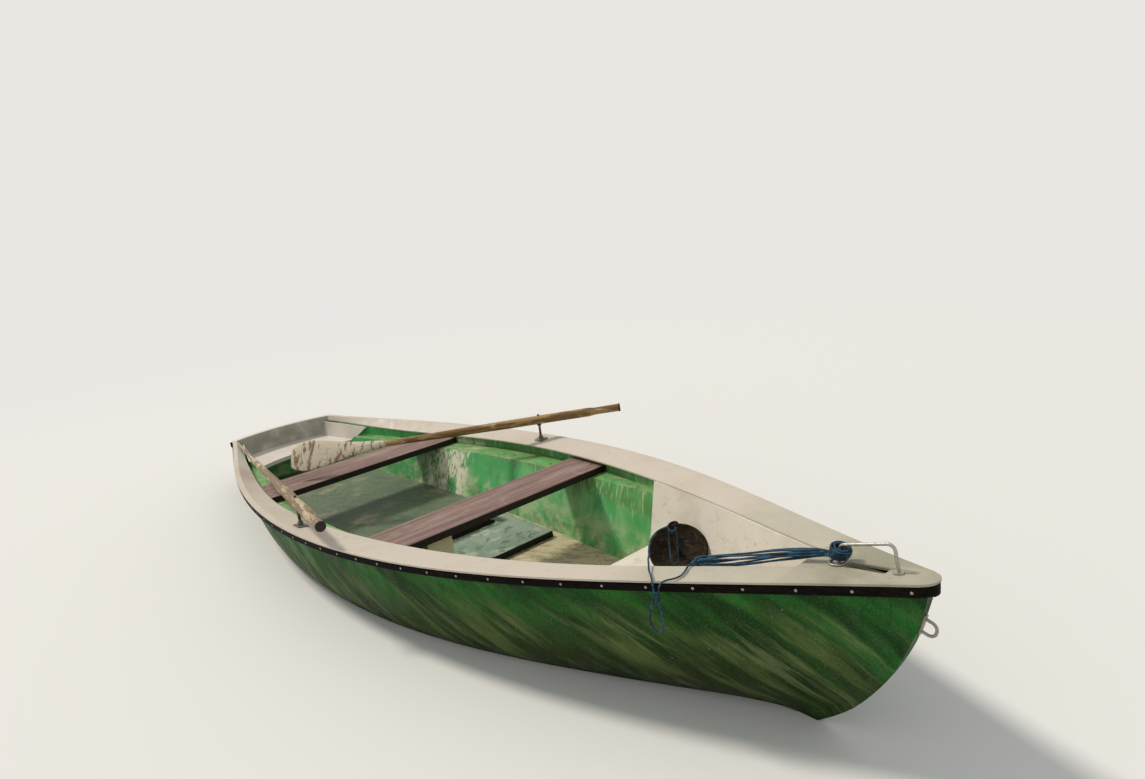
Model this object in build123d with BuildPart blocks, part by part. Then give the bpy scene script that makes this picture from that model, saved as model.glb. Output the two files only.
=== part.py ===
"""Open rowing boat of moulded glass fibre with two planks, two pin oars and a mushroom anchor.

Frame, in millimetres: +X to the bow, +Y to port, +Z up. The origin lies on the centreline
at the waterline, abreast of the gunwale's two stern corners.
"""
from build123d import *
from math import atan2, cos, hypot, radians, sin, sqrt, tan
import os

os.makedirs("parts", exist_ok=True)

# Driving sizes of the hull
length = 4200.0            # stern corners to the tip of the bow
stern_sheer = 260.0        # gunwale above the waterline at the stern
sheer_rise = 280.0         # further height of the gunwale at the bow
keel_depth = 150.0         # underside of the keel bar below the waterline
stern_keel_depth = 118.0   # the same at the stern, where the keel runs up
keel_half = 9.0            # half the width of the moulded keel bar
skin = 8.0                 # hull moulding
liner_skin = 6.0           # inner mouldings
seat_gap = 0.3             # between pieces that lie on one another
transom_bulge = 135.0      # how far the curved stern stands aft of its corners
transom_rake = 7.0         # lean of the stern, degrees
tip_half = 15.0            # half the width of the bow at deck height

# Gunwale flange and rub rail
flange_skin = 6.0
flange_overhang = 15.0
flange_flat = 10.0         # flat part of the flange inside the topside
rail_thick = 16.0
rail_height = 28.0
rail_stern_x = 14.0        # where the side rails meet the stern rail
rail_edge = 4.0            # chamfer along the strip
stem_x = length - 14.0     # stem at deck height
rail_joint_x = length - 115.0    # where the two side rails meet the bow cap
deck_tip_radius = 40.0     # rounding of the deck's tip
nose_inset = 2.0           # how far the bow cap stands back under the deck's edge

# The stem's curve from the side
stem_bend = (length - 88.0, 300.0)
forefoot = (length - 237.0, 87.0)
forefoot_bend = (length - 510.0, -88.0)
keel_start_x = length - 852.0

# Inside of the boat
floor_z = -10.0
stern_wall_x = 60.0
well_start_x = 2870.0      # aft edge of the bow well
deck_start_x = length - 350.0    # aft edge of the foredeck
fore_x = well_start_x + (deck_start_x - well_start_x) * 9 / 14
well_mid_x = well_start_x + (fore_x - well_start_x) * 11 / 21

# Planks that the rowers sit on
thwart_thick = 32.0
aft_thwart_x = (865.0, 1135.0)
mid_thwart_x = (2175.0, 2430.0)

# Stern shelf
shelf_z = 145.0
shelf_lip = 22.0
shelf_front_mid = 190.0
shelf_front_side = 268.0
shelf_half = 290.0         # half breadth at which the shelf's front is furthest forward
shelf_slope = 60.0         # how far the shelf's side walls lean in
shelf_wall_run = (117.0, 100.0)  # forward and up along the raking edge of its side walls
shelf_lip_half = 268.0     # half breadth of the hanging lip
rim_width = 22.0
rim_skin = 3.0             # the rim's skin over the transom wall
stern_corner = 338.0       # half breadth at the stern's two corners

# Raised floor panel and the box under the middle plank
panel_x = (1740.0, 2245.0)
panel_half = 340.0
panel_height = 30.0
slot_x = (1875.0, 1935.0)
slot_y = (-20.0, 250.0)
box_x = (2255.0, 2395.0)
box_y = (-368.0, -258.0)
box_wall = 6.0

# Rowlock pins and oars
pin_x = 1840.0
pin_y = 640.0
pin_radius = 6.0
pin_play = 0.4
pin_rise = 98.0            # oar's axis above the gunwale at the pin
pin_above = 30.0           # pin above the oar's axis
plate_size = (70.0, 44.0, 4.0)
oar_outer = 1320.0         # pin to the blade's tip
oar_inner = 420.0          # pin to the handle's end
loom_radius = 22.0
neck_radius = 15.0
grip_radius = 19.0
blade_length = 520.0
blade_width = 122.0
blade_thick = 16.0
oar_drop = 3.2             # degrees that the blade end hangs below the level
pin_boss_radius = 11.0
boss_rise = 17.0
grip_long = 130.0
cap_long = 8.0

# Foredeck's pocket, handle, ring and the eye on the stem
recess_x = (length - 238.0, length - 128.0)
recess_width = 30.0
recess_depth = 20.0
recess_wall = 4.0
handle_x = (length - 262.0, length - 100.0)
handle_radius = 4.5
handle_rise = 52.0         # bar above the deck at its aft end
handle_climb = 44.0        # further rise of the bar to its forward end
handle_bend = 18.0
foot_radius = 14.0
ring_radius = 24.0
ring_wire = 3.0
eye_z = 410.0
eye_reach = 36.0
eye_rod = 4.0

# Mushroom anchor
anchor_place = (well_start_x + 362.0, 130.0)   # point under the middle of its bowl
bowl_radius = 104.0
bowl_depth = 43.0
bowl_wall = 8.0
shank_radius = 8.0
shank_long = 215.0
shank_eye = 14.0
shank_eye_wire = 5.0

# Rope
rope_radius = 3.0
hank_radius = 20.0         # loose part of the bunch
hank_neck = 9.0            # the same rope drawn tight towards the handle
ball_radius = 31.0

# Stations of the hull, from the stern forward. Columns: place along the boat, half breadth
# at the gunwale, bilge top (out, up), bilge foot (out, up) and rabbet height on the keel.
HULL_STATIONS = [
    (-200.0, 277.0, 246.0, 75.0, 160.0, -70.0, -92.0),
    (700.0, 537.0, 487.0, 72.0, 330.0, -88.0, -122.0),
    (1400.0, 666.0, 612.0, 85.0, 415.0, -95.0, -132.0),
    (2100.0, 680.0, 622.0, 95.0, 405.0, -95.0, -134.0),
    (well_start_x, 542.0, 458.0, 110.0, 288.0, -75.0, -124.0),
    (fore_x, 310.0, 224.0, 165.0, 112.0, -8.0, -78.0),
    (deck_start_x, 158.0, 92.0, 226.0, 46.0, 103.0, 38.0),
    (length, tip_half, 12.0, 505.0, 11.0, 470.0, 440.0),
]

# The hollow inside the hull stops short of the stem, at this last station
HOLLOW_END = (length - 90.0, 50.0, 22.0, 390.0, 10.0, 345.0, 325.0)

# The inner mouldings at the same stations. Columns: flange's inner edge and its drop, ledge's
# inner edge and its drop, how far the ledge runs out under the flange, half breadth of the
# floor. Ledge and floor end at the bow well.
INNER_STATIONS = [
    (250.0, 30.0, 205.0, 95.0, 0.0, 150.0),
    (460.0, 38.0, 385.0, 88.0, 12.0, 322.0),
    (566.0, 28.0, 476.0, 80.0, 30.0, 378.0),
    (555.0, 16.0, 480.0, 73.0, 44.0, 384.0),
    (414.0, 15.0, 402.0, 70.0, 14.0, 356.0),
    (200.0, 8.0, 0.0, 0.0, 0.0, 0.0),
    (62.0, 0.8, 0.0, 0.0, 0.0, 0.0),
    (1.0, 0.4, 0.0, 0.0, 0.0, 0.0),
]

# The bow well. Columns: place, top edge, half breadth and height of its floor.
WELL_STATIONS = [
    (well_start_x, 414.0, 352.0, 120.0),
    (well_mid_x, 319.0, 264.0, 190.0),
    (fore_x, 200.0, 148.0, 232.0),
    (deck_start_x, 62.0, 36.0, 285.0),
]

sheer_radius = (length**2 + sheer_rise**2) / (2 * sheer_rise)


def sheer(x):
    """Height of the gunwale: one long arc that is level at the stern."""
    return stern_sheer + sheer_radius - sqrt(sheer_radius**2 - x**2)


def across(x):
    """Plane across the boat: its first axis points to port, its second up."""
    return Plane(origin=(x, 0, 0), x_dir=(0, 1, 0), z_dir=(1, 0, 0))


def blend(table, x, column):
    """A column of a table of stations at any place between its rows."""
    for low, high in zip(table, table[1:]):
        if x <= high[0]:
            share = (x - low[0]) / (high[0] - low[0])
            return low[column] + share * (high[column] - low[column])
    return table[-1][column]


def arc_middle(before, start, end):
    """Middle point of an arc from start to end that runs on smoothly from a straight line."""
    run, fall = end[0] - start[0], end[1] - start[1]
    chord = hypot(run, fall)
    turn = atan2(run, -fall) - atan2(start[0] - before[0], before[1] - start[1])
    bulge = chord / 2 * tan(-turn / 2)
    return ((start[0] + end[0]) / 2 - fall / chord * bulge, (start[1] + end[1]) / 2 + run / chord * bulge)


def hull_section(row, offset, keel):
    """One closed section of the hull, swollen by offset, with or without its keel bar."""
    x, breadth, out_top, up_top, out_foot, up_foot, rabbet = row
    top = (breadth + offset + 8, sheer(x) + 30)
    bilge_top = (out_top + offset, up_top)
    bilge_foot = (out_foot + offset * 0.7, up_foot - offset)
    middle = arc_middle(top, bilge_top, bilge_foot)
    bottom = rabbet - offset
    bar = keel_half + max(offset, 0)
    with BuildSketch(across(x)) as section:
        with BuildLine():
            for side in (1, -1):
                Line((side * top[0], top[1]), (side * bilge_top[0], bilge_top[1]))
                ThreePointArc(*[(side * y, z) for y, z in (bilge_top, middle, bilge_foot)])
                if keel:
                    Polyline(
                        (side * bilge_foot[0], bilge_foot[1]),
                        (side * bar, bottom),
                        (side * bar, -keel_depth - 60),
                    )
                else:
                    Line((side * bilge_foot[0], bilge_foot[1]), (0, bottom))
            if keel:
                Line((-bar, -keel_depth - 60), (bar, -keel_depth - 60))
            Line((-top[0], top[1]), top)
        make_face()
    return section.sketch


def side_profile(grow, upper):
    """The boat's outline from the side, extruded right across it."""
    nose = stem_x + grow
    foot = (forefoot[0] + grow, forefoot[1] - grow)
    heel = (keel_start_x, -keel_depth - grow)
    with BuildPart() as profile:
        with BuildSketch(Plane.XZ):
            with BuildLine():
                ThreePointArc((nose, sheer(nose) + upper), (stem_bend[0] + grow, stem_bend[1]), foot)
                ThreePointArc(foot, (forefoot_bend[0] + grow, forefoot_bend[1] - grow), heel)
                Polyline(
                    heel,
                    (900, -keel_depth - grow),
                    (-260, -stern_keel_depth - grow),
                    (-260, sheer(-260) + upper),
                )
                ThreePointArc(*[(x, sheer(x) + upper) for x in (-260, 1900, nose)])
            make_face()
        extrude(amount=900, both=True)
    return profile.part


def stern_region(offset):
    """All that lies forward of the curved, raked stern, which is moved aft by offset."""
    lean = radians(transom_rake)
    plane = Plane(
        origin=(0, 0, stern_sheer), x_dir=(cos(lean), 0, sin(lean)), z_dir=(-sin(lean), 0, cos(lean))
    )
    far = 900.0
    fore_end = length + 1000
    reach = transom_bulge / stern_corner**2 * (far**2 - stern_corner**2)
    with BuildPart() as region:
        with BuildSketch(plane):
            with BuildLine():
                ThreePointArc(
                    (reach - offset, far), (-transom_bulge - offset, 0), (reach - offset, -far)
                )
                Polyline(
                    (reach - offset, -far), (fore_end, -far), (fore_end, far), (reach - offset, far)
                )
            make_face()
        extrude(amount=900, both=True)
    return region.part


def hull_solid(rows, offset, keel, upper):
    """The hull's whole volume, swollen by offset and cut to its profile."""
    with BuildPart() as solid:
        loft([hull_section(row, offset, keel) for row in rows])
        if keel:
            add(side_profile(offset, upper), mode=Mode.INTERSECT)
        add(stern_region(offset), mode=Mode.INTERSECT)
    return solid.part


def side_at(row, z):
    """Half breadth of the hull's flat topside at a height."""
    x, breadth, out_top, up_top = row[:4]
    high = sheer(x) + 30
    return out_top + (breadth + 8 - out_top) * (z - up_top) / (high - up_top)


def polygon(x, points):
    """A closed section of straight lines on the plane across the boat at x."""
    with BuildSketch(across(x)) as section:
        with BuildLine():
            Polyline(*points, close=True)
        make_face()
    return section.sketch


def slab(x_range, y_range, z_range):
    """Plain block between three pairs of limits."""
    with BuildPart() as block:
        size = [high - low for low, high in (x_range, y_range, z_range)]
        middle = [(high + low) / 2 for low, high in (x_range, y_range, z_range)]
        with Locations(tuple(middle)):
            Box(*size)
    return block.part


def finish(part, name):
    """Name a finished piece and write it to its file."""
    part.label = name
    export_step(part, f"parts/{name}.step")


SIDES = {"starboard": -1, "port": 1}
STATIONS = list(zip(HULL_STATIONS, INNER_STATIONS))
under_flange = -flange_skin - seat_gap
wide = (-900, 900)
tall = (-400, 900)


def deck_loft(low, high):
    """Flat slab right across the boat that follows the gunwale."""
    sections = []
    for row in HULL_STATIONS:
        half, top = row[1] + flange_overhang, sheer(row[0])
        corners = [(-half, top + low), (half, top + low), (half, top + high), (-half, top + high)]
        sections.append(polygon(row[0], corners))
    with BuildPart() as deck:
        loft(sections)
    return deck.part


def mirrored(half):
    """Points of a section's port half, then the same to starboard in the other order."""
    return half + [(-y, z) for y, z in half[::-1]]


def roof_loft(gap):
    """All that lies above the underside of the sloping gunwale flanges."""
    sections = []
    for row, inner_row in STATIONS:
        top = sheer(row[0]) - flange_skin - gap
        edge, low = row[1] - flange_flat, top - inner_row[1]
        half = [(inner_row[0], low), (edge, top), (row[1] + 60, top), (row[1] + 60, top + 150)]
        sections.append(polygon(row[0], mirrored(half)))
    with BuildPart() as roof:
        loft(sections)
    return roof.part


roof = roof_loft(seat_gap)
hull_skin = hull_solid(HULL_STATIONS, seat_gap, True, under_flange)

# Hull moulding
with BuildPart() as hull_shell:
    add(hull_solid(HULL_STATIONS, 0, True, under_flange - 0.55))
    add(hull_solid(HULL_STATIONS[:-1] + [HOLLOW_END], -skin, False, 0), mode=Mode.SUBTRACT)
finish(hull_shell.part, "hull_shell")


# Rub rail: a strip along each side, a cap round the bow and a strip round the stern
def rail_loft(side):
    """The strip's full run along one side, sunk into the hull's own space."""
    sections = []
    for row in HULL_STATIONS:
        high = sheer(row[0]) + under_flange - 0.2
        low = high - rail_height
        inner, outer = side_at(row, high) - 12, side_at(row, high) + rail_thick
        points = [(inner, high), (outer - rail_edge, high), (outer, high - rail_edge)]
        points += [(outer, low + rail_edge), (outer - rail_edge, low), (inner - 8, low)]
        sections.append(polygon(row[0], [(side * y, z) for y, z in points]))
    with BuildPart() as rail:
        loft(sections)
        add(hull_skin, mode=Mode.SUBTRACT)
    return rail.part


rail_lofts = {name: rail_loft(side) for name, side in SIDES.items()}
for name, whole_rail in rail_lofts.items():
    with BuildPart() as rub_rail:
        add(whole_rail)
        add(slab((rail_stern_x, rail_joint_x), wide, tall), mode=Mode.INTERSECT)
    finish(rub_rail.part, f"rub_rail_{name}")


def tip_region(inset):
    """All that lies aft of the bow's rounded tip, which is moved aft by inset."""
    radius = deck_tip_radius - inset
    centre_x = length - deck_tip_radius
    wing = radius * 0.4
    with BuildPart() as region:
        with BuildSketch(Plane.XY):
            with BuildLine():
                ends = [(centre_x + wing, side * sqrt(radius**2 - wing**2)) for side in (-1, 1)]
                ThreePointArc(ends[0], (centre_x + radius, 0), ends[1])
                Polyline(
                    ends[1], (centre_x - 400, 400), (0, 400), (0, -400), (centre_x - 400, -400), ends[0]
                )
            make_face()
        extrude(amount=900)
    return region.part


nose_top = sheer(length) + under_flange - 4
with BuildPart() as rub_rail_bow:
    for whole_rail in rail_lofts.values():
        add(whole_rail)
    add(slab((rail_joint_x + 1, length + 50), wide, tall), mode=Mode.INTERSECT)
    add(slab((stem_x - 4, length), (-tip_half, tip_half), (nose_top - rail_height, nose_top)))
    add(tip_region(nose_inset), mode=Mode.INTERSECT)
    add(hull_skin, mode=Mode.SUBTRACT)
finish(rub_rail_bow.part, "rub_rail_bow")

with BuildPart() as rub_rail_stern:
    add(stern_region(rail_thick + seat_gap))
    add(stern_region(seat_gap), mode=Mode.SUBTRACT)
    rail_under = stern_sheer + under_flange - rail_height
    add(
        slab(
            (-400, rail_stern_x - 1),
            (2 - stern_corner, stern_corner - 2),
            (rail_under, rail_under + rail_height),
        ),
        mode=Mode.INTERSECT,
    )
finish(rub_rail_stern.part, "rub_rail_stern")


# Gunwale flange along each side: flat over the rail, then sloping down to its inner edge
def flange_section(row, inner_row, side):
    """The flange's section on one side."""
    top, edge = sheer(row[0]), row[1] - flange_flat
    upper = [(row[1] + flange_overhang, top), (edge, top), (inner_row[0], top - inner_row[1])]
    lower = [(y, z - flange_skin) for y, z in upper[::-1]]
    return polygon(row[0], [(side * y, z) for y, z in upper + lower])


gunwales = {}
for name, side in SIDES.items():
    with BuildPart() as gunwale:
        loft([flange_section(*rows, side) for rows in STATIONS])
        add(stern_region(-rim_width - seat_gap), mode=Mode.INTERSECT)
        add(slab((-200, deck_start_x), wide, tall), mode=Mode.INTERSECT)
        with Locations((pin_x, side * pin_y, sheer(pin_x))):
            Cylinder(pin_radius + pin_play, 80, mode=Mode.SUBTRACT)
    gunwales[name] = gunwale.part
    finish(gunwale.part, f"gunwale_{name}")

# Foredeck with the narrow pocket in its middle
deck_up = sheer(recess_x[0]) - flange_skin
with BuildPart() as foredeck:
    add(deck_loft(-flange_skin, 0))
    add(slab((deck_start_x + seat_gap, length + 50), wide, tall), mode=Mode.INTERSECT)
    add(tip_region(0), mode=Mode.INTERSECT)
    recess_mid = (recess_x[0] + recess_x[1]) / 2
    recess_long = recess_x[1] - recess_x[0]
    for grow, mode in ((recess_wall, Mode.ADD), (0, Mode.SUBTRACT)):
        floor_up = deck_up + flange_skin - recess_depth - grow
        with BuildSketch(Plane.XY.offset(floor_up)):
            with Locations((recess_mid, 0)):
                RectangleRounded(recess_long + 2 * grow, recess_width + 2 * grow, 8 + grow)
        extrude(amount=recess_depth + grow - 3 if mode == Mode.ADD else 60, mode=mode)
finish(foredeck.part, "foredeck")


# Stern moulding: rim over the transom, wall down to a shelf, and the shelf's hanging lip
def stern_space(grow, low, aft):
    """Space above the shelf between its sloping sides, or round it when grown."""
    with BuildPart() as space:
        sections = []
        for row, inner_row in STATIONS[:3]:
            wide_half = inner_row[0] + grow
            half = [(wide_half - shelf_slope, low), (wide_half, sheer(row[0]) + 20)]
            sections.append(polygon(row[0], mirrored(half)))
        loft(sections)
        add(stern_region(aft), mode=Mode.INTERSECT)
    return space.part


def shelf_ends(grow):
    """Outline from the side: the walls run on forward above the shelf in a raking edge."""
    front = shelf_front_side + grow
    run, rise = shelf_wall_run
    with BuildPart() as ends:
        with BuildSketch(Plane.XZ):
            with BuildLine():
                Polyline(
                    (-400, shelf_z - 85),
                    (front, shelf_z - 85),
                    (front, shelf_z),
                    (front + run, shelf_z + rise),
                    (front + run, stern_sheer + 40),
                    (-400, stern_sheer + 40),
                    close=True,
                )
            make_face()
        extrude(amount=900, both=True)
    return ends.part


skin_z = shelf_z - liner_skin
wall_aft = -rim_width + liner_skin
hollow_radius = (shelf_half**2 + (shelf_front_side - shelf_front_mid) ** 2) / (
    2 * (shelf_front_side - shelf_front_mid)
)
with BuildPart() as stern_moulding:
    add(stern_space(liner_skin, skin_z, wall_aft))
    add(shelf_ends(0), mode=Mode.INTERSECT)
    add(stern_space(0, shelf_z, -rim_width), mode=Mode.SUBTRACT)
    with Locations((shelf_front_mid + hollow_radius, 0, shelf_z - 20)):
        Cylinder(hollow_radius, 42, mode=Mode.SUBTRACT)
    add(slab((-400, 600), wide, (stern_sheer - rim_skin, 400)), mode=Mode.SUBTRACT)
with BuildPart() as roof_forward:
    add(roof)
    add(stern_region(-rim_width), mode=Mode.INTERSECT)
with BuildPart() as transom_top:
    add(stern_region(wall_aft))
    add(stern_region(-rim_width), mode=Mode.SUBTRACT)
    inside = stern_corner - 26
    add(
        slab((-400, stern_wall_x), (-inside, inside), (stern_sheer - 45, stern_sheer - rim_skin)),
        mode=Mode.INTERSECT,
    )
with BuildPart() as rim:
    add(deck_loft(-flange_skin, 0))
    add(stern_region(flange_overhang), mode=Mode.INTERSECT)
    add(stern_region(-rim_width), mode=Mode.SUBTRACT)
with BuildPart() as lip:
    with BuildSketch(Plane.XY.offset(shelf_z - shelf_lip)):
        with Locations((shelf_front_mid + hollow_radius, 0)):
            Circle(hollow_radius + liner_skin)
            Circle(hollow_radius, mode=Mode.SUBTRACT)
    extrude(amount=shelf_lip - 1)
    add(slab((-400, 400), (-shelf_lip_half, shelf_lip_half), tall), mode=Mode.INTERSECT)
with BuildPart() as stern_whole:
    add(stern_moulding.part)
    add(roof_forward.part, mode=Mode.SUBTRACT)
    add([transom_top.part, rim.part, lip.part])
finish(stern_whole.part, "stern_moulding")


# Cockpit moulding: rebate, ledge, wall and floor, with its own end wall at the stern
def cockpit_half(row, inner_row, out):
    """Port half of the section, on the face that shows or, with out, on the hidden face."""
    inner, drop, ledge, ledge_drop, reach, floor_half = inner_row
    ledge_up = sheer(row[0]) - ledge_drop
    return [
        (floor_half + out, floor_z - out),
        (ledge + out, ledge_up - out - 2),
        (inner + reach - 2 + out, ledge_up - out),
        (inner + reach + out, sheer(row[0])),
    ]


def cockpit_loft(out):
    """Volume inside one face of the cockpit moulding."""
    with BuildPart() as volume:
        loft([polygon(rows[0][0], mirrored(cockpit_half(*rows, out))) for rows in STATIONS[:5]])
    return volume.part


cockpit_outside = cockpit_loft(liner_skin)
cockpit_inside = cockpit_loft(0)
with BuildPart() as cockpit_liner:
    add(cockpit_outside)
    add(slab((stern_wall_x, well_start_x - seat_gap), wide, tall), mode=Mode.INTERSECT)
    with BuildPart(mode=Mode.PRIVATE) as cockpit_hollow:
        add(cockpit_inside)
        add(slab((stern_wall_x + liner_skin, 5000), wide, tall), mode=Mode.INTERSECT)
    add(cockpit_hollow.part, mode=Mode.SUBTRACT)
    with BuildPart(mode=Mode.PRIVATE) as stern_cut:
        add(stern_space(liner_skin + seat_gap, skin_z - seat_gap, wall_aft))
        add(shelf_ends(seat_gap), mode=Mode.INTERSECT)
    add([roof, stern_cut.part], mode=Mode.SUBTRACT)
finish(cockpit_liner.part, "cockpit_liner")


# Bow well: a rising floor between walls, with a frame at its aft end and a wall under the deck
def well_half(row, out):
    """Port half of the well's section, on the face that shows or on the hidden one."""
    x, edge, floor_half, floor_up = row
    return [(floor_half + out, floor_up - out), (edge + out, sheer(x) + 10)]


def well_loft(out):
    """Volume inside one face of the well."""
    with BuildPart() as volume:
        loft([polygon(row[0], mirrored(well_half(row, out))) for row in WELL_STATIONS])
    return volume.part


with BuildPart() as frame_plate:
    with BuildSketch(across(well_start_x)):
        with BuildLine():
            Polyline(*mirrored(cockpit_half(*STATIONS[4], liner_skin)), close=True)
        make_face()
    extrude(amount=liner_skin)
with BuildPart() as end_plate:
    with BuildSketch(across(deck_start_x)):
        with BuildLine():
            Polyline(*mirrored(well_half(WELL_STATIONS[-1], liner_skin)), close=True)
        make_face()
    extrude(amount=liner_skin)
with BuildPart() as bow_well:
    add([well_loft(liner_skin), frame_plate.part])
    add(well_loft(0), mode=Mode.SUBTRACT)
    add(end_plate.part)
    add(roof, mode=Mode.SUBTRACT)
finish(bow_well.part, "bow_well")

# Raised floor panel with its slot
with BuildPart() as floor_panel:
    with BuildSketch(Plane.XY.offset(floor_z + seat_gap)):
        with Locations(((panel_x[0] + panel_x[1]) / 2, 0)):
            Rectangle(panel_x[1] - panel_x[0], 2 * panel_half)
        with Locations(((slot_x[0] + slot_x[1]) / 2, (slot_y[0] + slot_y[1]) / 2)):
            SlotOverall(
                slot_y[1] - slot_y[0], slot_x[1] - slot_x[0], rotation=90, mode=Mode.SUBTRACT
            )
    extrude(amount=panel_height)
    fillet(floor_panel.faces().sort_by(Axis.Z)[-1].outer_wire().edges(), radius=5)
finish(floor_panel.part, "floor_panel")


# Planks: each end lies on the ledge and stops just inside the rebate
def rest_loft():
    """Space above the ledge, in which a plank lies."""
    sections = []
    for row, inner_row in STATIONS[:5]:
        end_half, ledge_up = inner_row[0] + inner_row[4] - 5, sheer(row[0]) - inner_row[3]
        half = [(end_half, ledge_up + seat_gap), (end_half, sheer(row[0]) + 60)]
        sections.append(polygon(row[0], mirrored(half)))
    with BuildPart() as space:
        loft(sections)
    return space.part


def ledge_at(x):
    """Height of the ledge at any place along the boat."""
    drops = [(row[0], inner_row[3]) for row, inner_row in STATIONS[:5]]
    return sheer(x) - blend(drops, x, 1)


rest_space = rest_loft()
for name, x_range in (("thwart_aft", aft_thwart_x), ("thwart_mid", mid_thwart_x)):
    with BuildPart() as thwart:
        with BuildSketch(Plane.XZ):
            with BuildLine():
                ends = [(x, ledge_at(x) + seat_gap) for x in x_range]
                tops = [(x, z + thwart_thick) for x, z in ends[::-1]]
                Polyline((ends[0][0], ends[0][1] - 9), (ends[1][0], ends[1][1] - 9), *tops, close=True)
            make_face()
        extrude(amount=700, both=True)
        fillet(thwart.edges().filter_by(Axis.Y).group_by(Axis.Z)[-1], radius=6)
        fillet(thwart.edges().filter_by(Axis.Y).sort_by(Axis.X)[-1], radius=2)
        add(rest_space, mode=Mode.INTERSECT)
    finish(thwart.part, name)

# Box under the middle plank, open below
with BuildPart() as thwart_box:
    for grow, low, mode in ((0, floor_z + seat_gap, Mode.ADD), (box_wall, floor_z - 5, Mode.SUBTRACT)):
        with BuildSketch(Plane.XZ.offset(-box_y[0] - grow)):
            with BuildLine():
                sides = (box_x[0] + grow, box_x[1] - grow)
                tops = [(x, ledge_at(x) - 0.4 - grow) for x in sides[::-1]]
                Polyline((sides[0], low), (sides[1], low), *tops, close=True)
            make_face()
        extrude(amount=-(box_y[1] - box_y[0] - 2 * grow), mode=mode)
finish(thwart_box.part, "thwart_box")


def deck_plane(x, rise):
    """Plane lying on the foredeck's centreline at x, raised by rise."""
    slope = x / sqrt(sheer_radius**2 - x**2)
    return Plane(origin=(x, 0, sheer(x)), x_dir=(1, 0, slope), z_dir=(-slope, 0, 1)).offset(rise)


# Handle on the foredeck: a bent tube with a foot disc at each end
feet = [deck_plane(x, seat_gap + 0.1) for x in handle_x]
bar_z = feet[0].origin.Z + handle_rise
with BuildPart() as bow_handle:
    with BuildLine() as handle_path:
        FilletPolyline(
            (handle_x[0], 0, feet[0].origin.Z + 2),
            (handle_x[0] + 5, 0, bar_z),
            (handle_x[1] - 10, 0, bar_z + handle_climb),
            (handle_x[1], 0, feet[1].origin.Z + 2),
            radius=handle_bend,
        )
    with BuildSketch(Plane(origin=handle_path.line @ 0, z_dir=handle_path.line % 0)):
        Circle(handle_radius)
    sweep()
    for foot in feet:
        with BuildSketch(foot):
            Circle(foot_radius)
        extrude(amount=4)
finish(bow_handle.part, "bow_handle")

# Ring lying on the deck round the handle's aft foot
with BuildPart() as mooring_ring:
    with Locations(deck_plane(handle_x[0] - 2, ring_wire + seat_gap + 0.1)):
        Torus(ring_radius, ring_wire)
finish(mooring_ring.part, "mooring_ring")

# Eye on the stem: a bent rod on a small plate
stem_line = Axis((length + 200, 0, eye_z), (-1, 0, 0))
stem_point = hull_shell.part.find_intersection_points(stem_line)[0][0]
stem_lean = atan2(stem_x - stem_bend[0], sheer(stem_x) + under_flange - stem_bend[1])
outward = Vector(cos(stem_lean), 0, -sin(stem_lean))
with BuildPart() as bow_eye:
    eye_plane = Plane(
        origin=stem_point + outward * (seat_gap + 0.1),
        x_dir=(sin(stem_lean), 0, cos(stem_lean)),
        z_dir=outward,
    )
    with BuildSketch(eye_plane):
        RectangleRounded(64, 16, 7)
    extrude(amount=4)
    rod_plane = Plane(origin=eye_plane.origin, x_dir=eye_plane.x_dir, z_dir=(0, 1, 0))
    with BuildLine(rod_plane) as eye_path:
        FilletPolyline((-19, 2), (-19, eye_reach), (19, eye_reach), (19, 2), radius=17)
    with BuildSketch(Plane(origin=eye_path.line @ 0, z_dir=eye_path.line % 0)):
        Circle(eye_rod)
    sweep()
finish(bow_eye.part, "bow_eye")

# Rowlocks: a plate on the sloping flange with a boss, and a plain pin that the oar turns on
axis_z = sheer(pin_x) + pin_rise
loom_slack = pin_boss_radius * tan(radians(oar_drop)) + 0.1
for name, side in SIDES.items():
    line = Axis((pin_x + 12, side * pin_y, 600), (0, 0, -1))
    seat, normal = gunwales[name].find_intersection_points(line)[0]
    seat_plane = Plane(origin=seat, x_dir=(1, 0, 0), z_dir=normal if normal.Z > 0 else -normal)
    with BuildPart() as rowlock_plate:
        with BuildSketch(seat_plane.offset(seat_gap + 0.2)):
            with Locations((-12, 0)):
                RectangleRounded(plate_size[0], plate_size[1], 8)
        extrude(amount=plate_size[2])
        with BuildSketch(Plane.XY.offset(seat.Z + 2.4)):
            with Locations((pin_x, side * pin_y)):
                Circle(pin_boss_radius)
        extrude(amount=boss_rise)
        with Locations((pin_x, side * pin_y, seat.Z)):
            Cylinder(pin_radius + 0.05, 120, mode=Mode.SUBTRACT)
    finish(rowlock_plate.part, f"rowlock_plate_{name}")

    with BuildPart() as rowlock_pin:
        pin_foot = seat.Z - 14
        with BuildSketch(Plane.XY.offset(pin_foot)):
            with Locations((pin_x, side * pin_y)):
                Circle(pin_radius)
        extrude(amount=axis_z + pin_above - pin_foot)
        fillet(rowlock_pin.edges().sort_by(Axis.Z)[-1], radius=3)
        with BuildSketch(Plane.XY.offset(axis_z - loom_radius - loom_slack - seat_gap)):
            with Locations((pin_x, side * pin_y)):
                Circle(pin_boss_radius)
        extrude(amount=-5)
    finish(rowlock_pin.part, f"rowlock_pin_{name}")

# Oars as they lie in the boat. Columns: heading of the blade and roll of the blade, degrees.
OARS = {"starboard": (171.0, 66.0), "port": (227.0, -50.0)}

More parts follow.
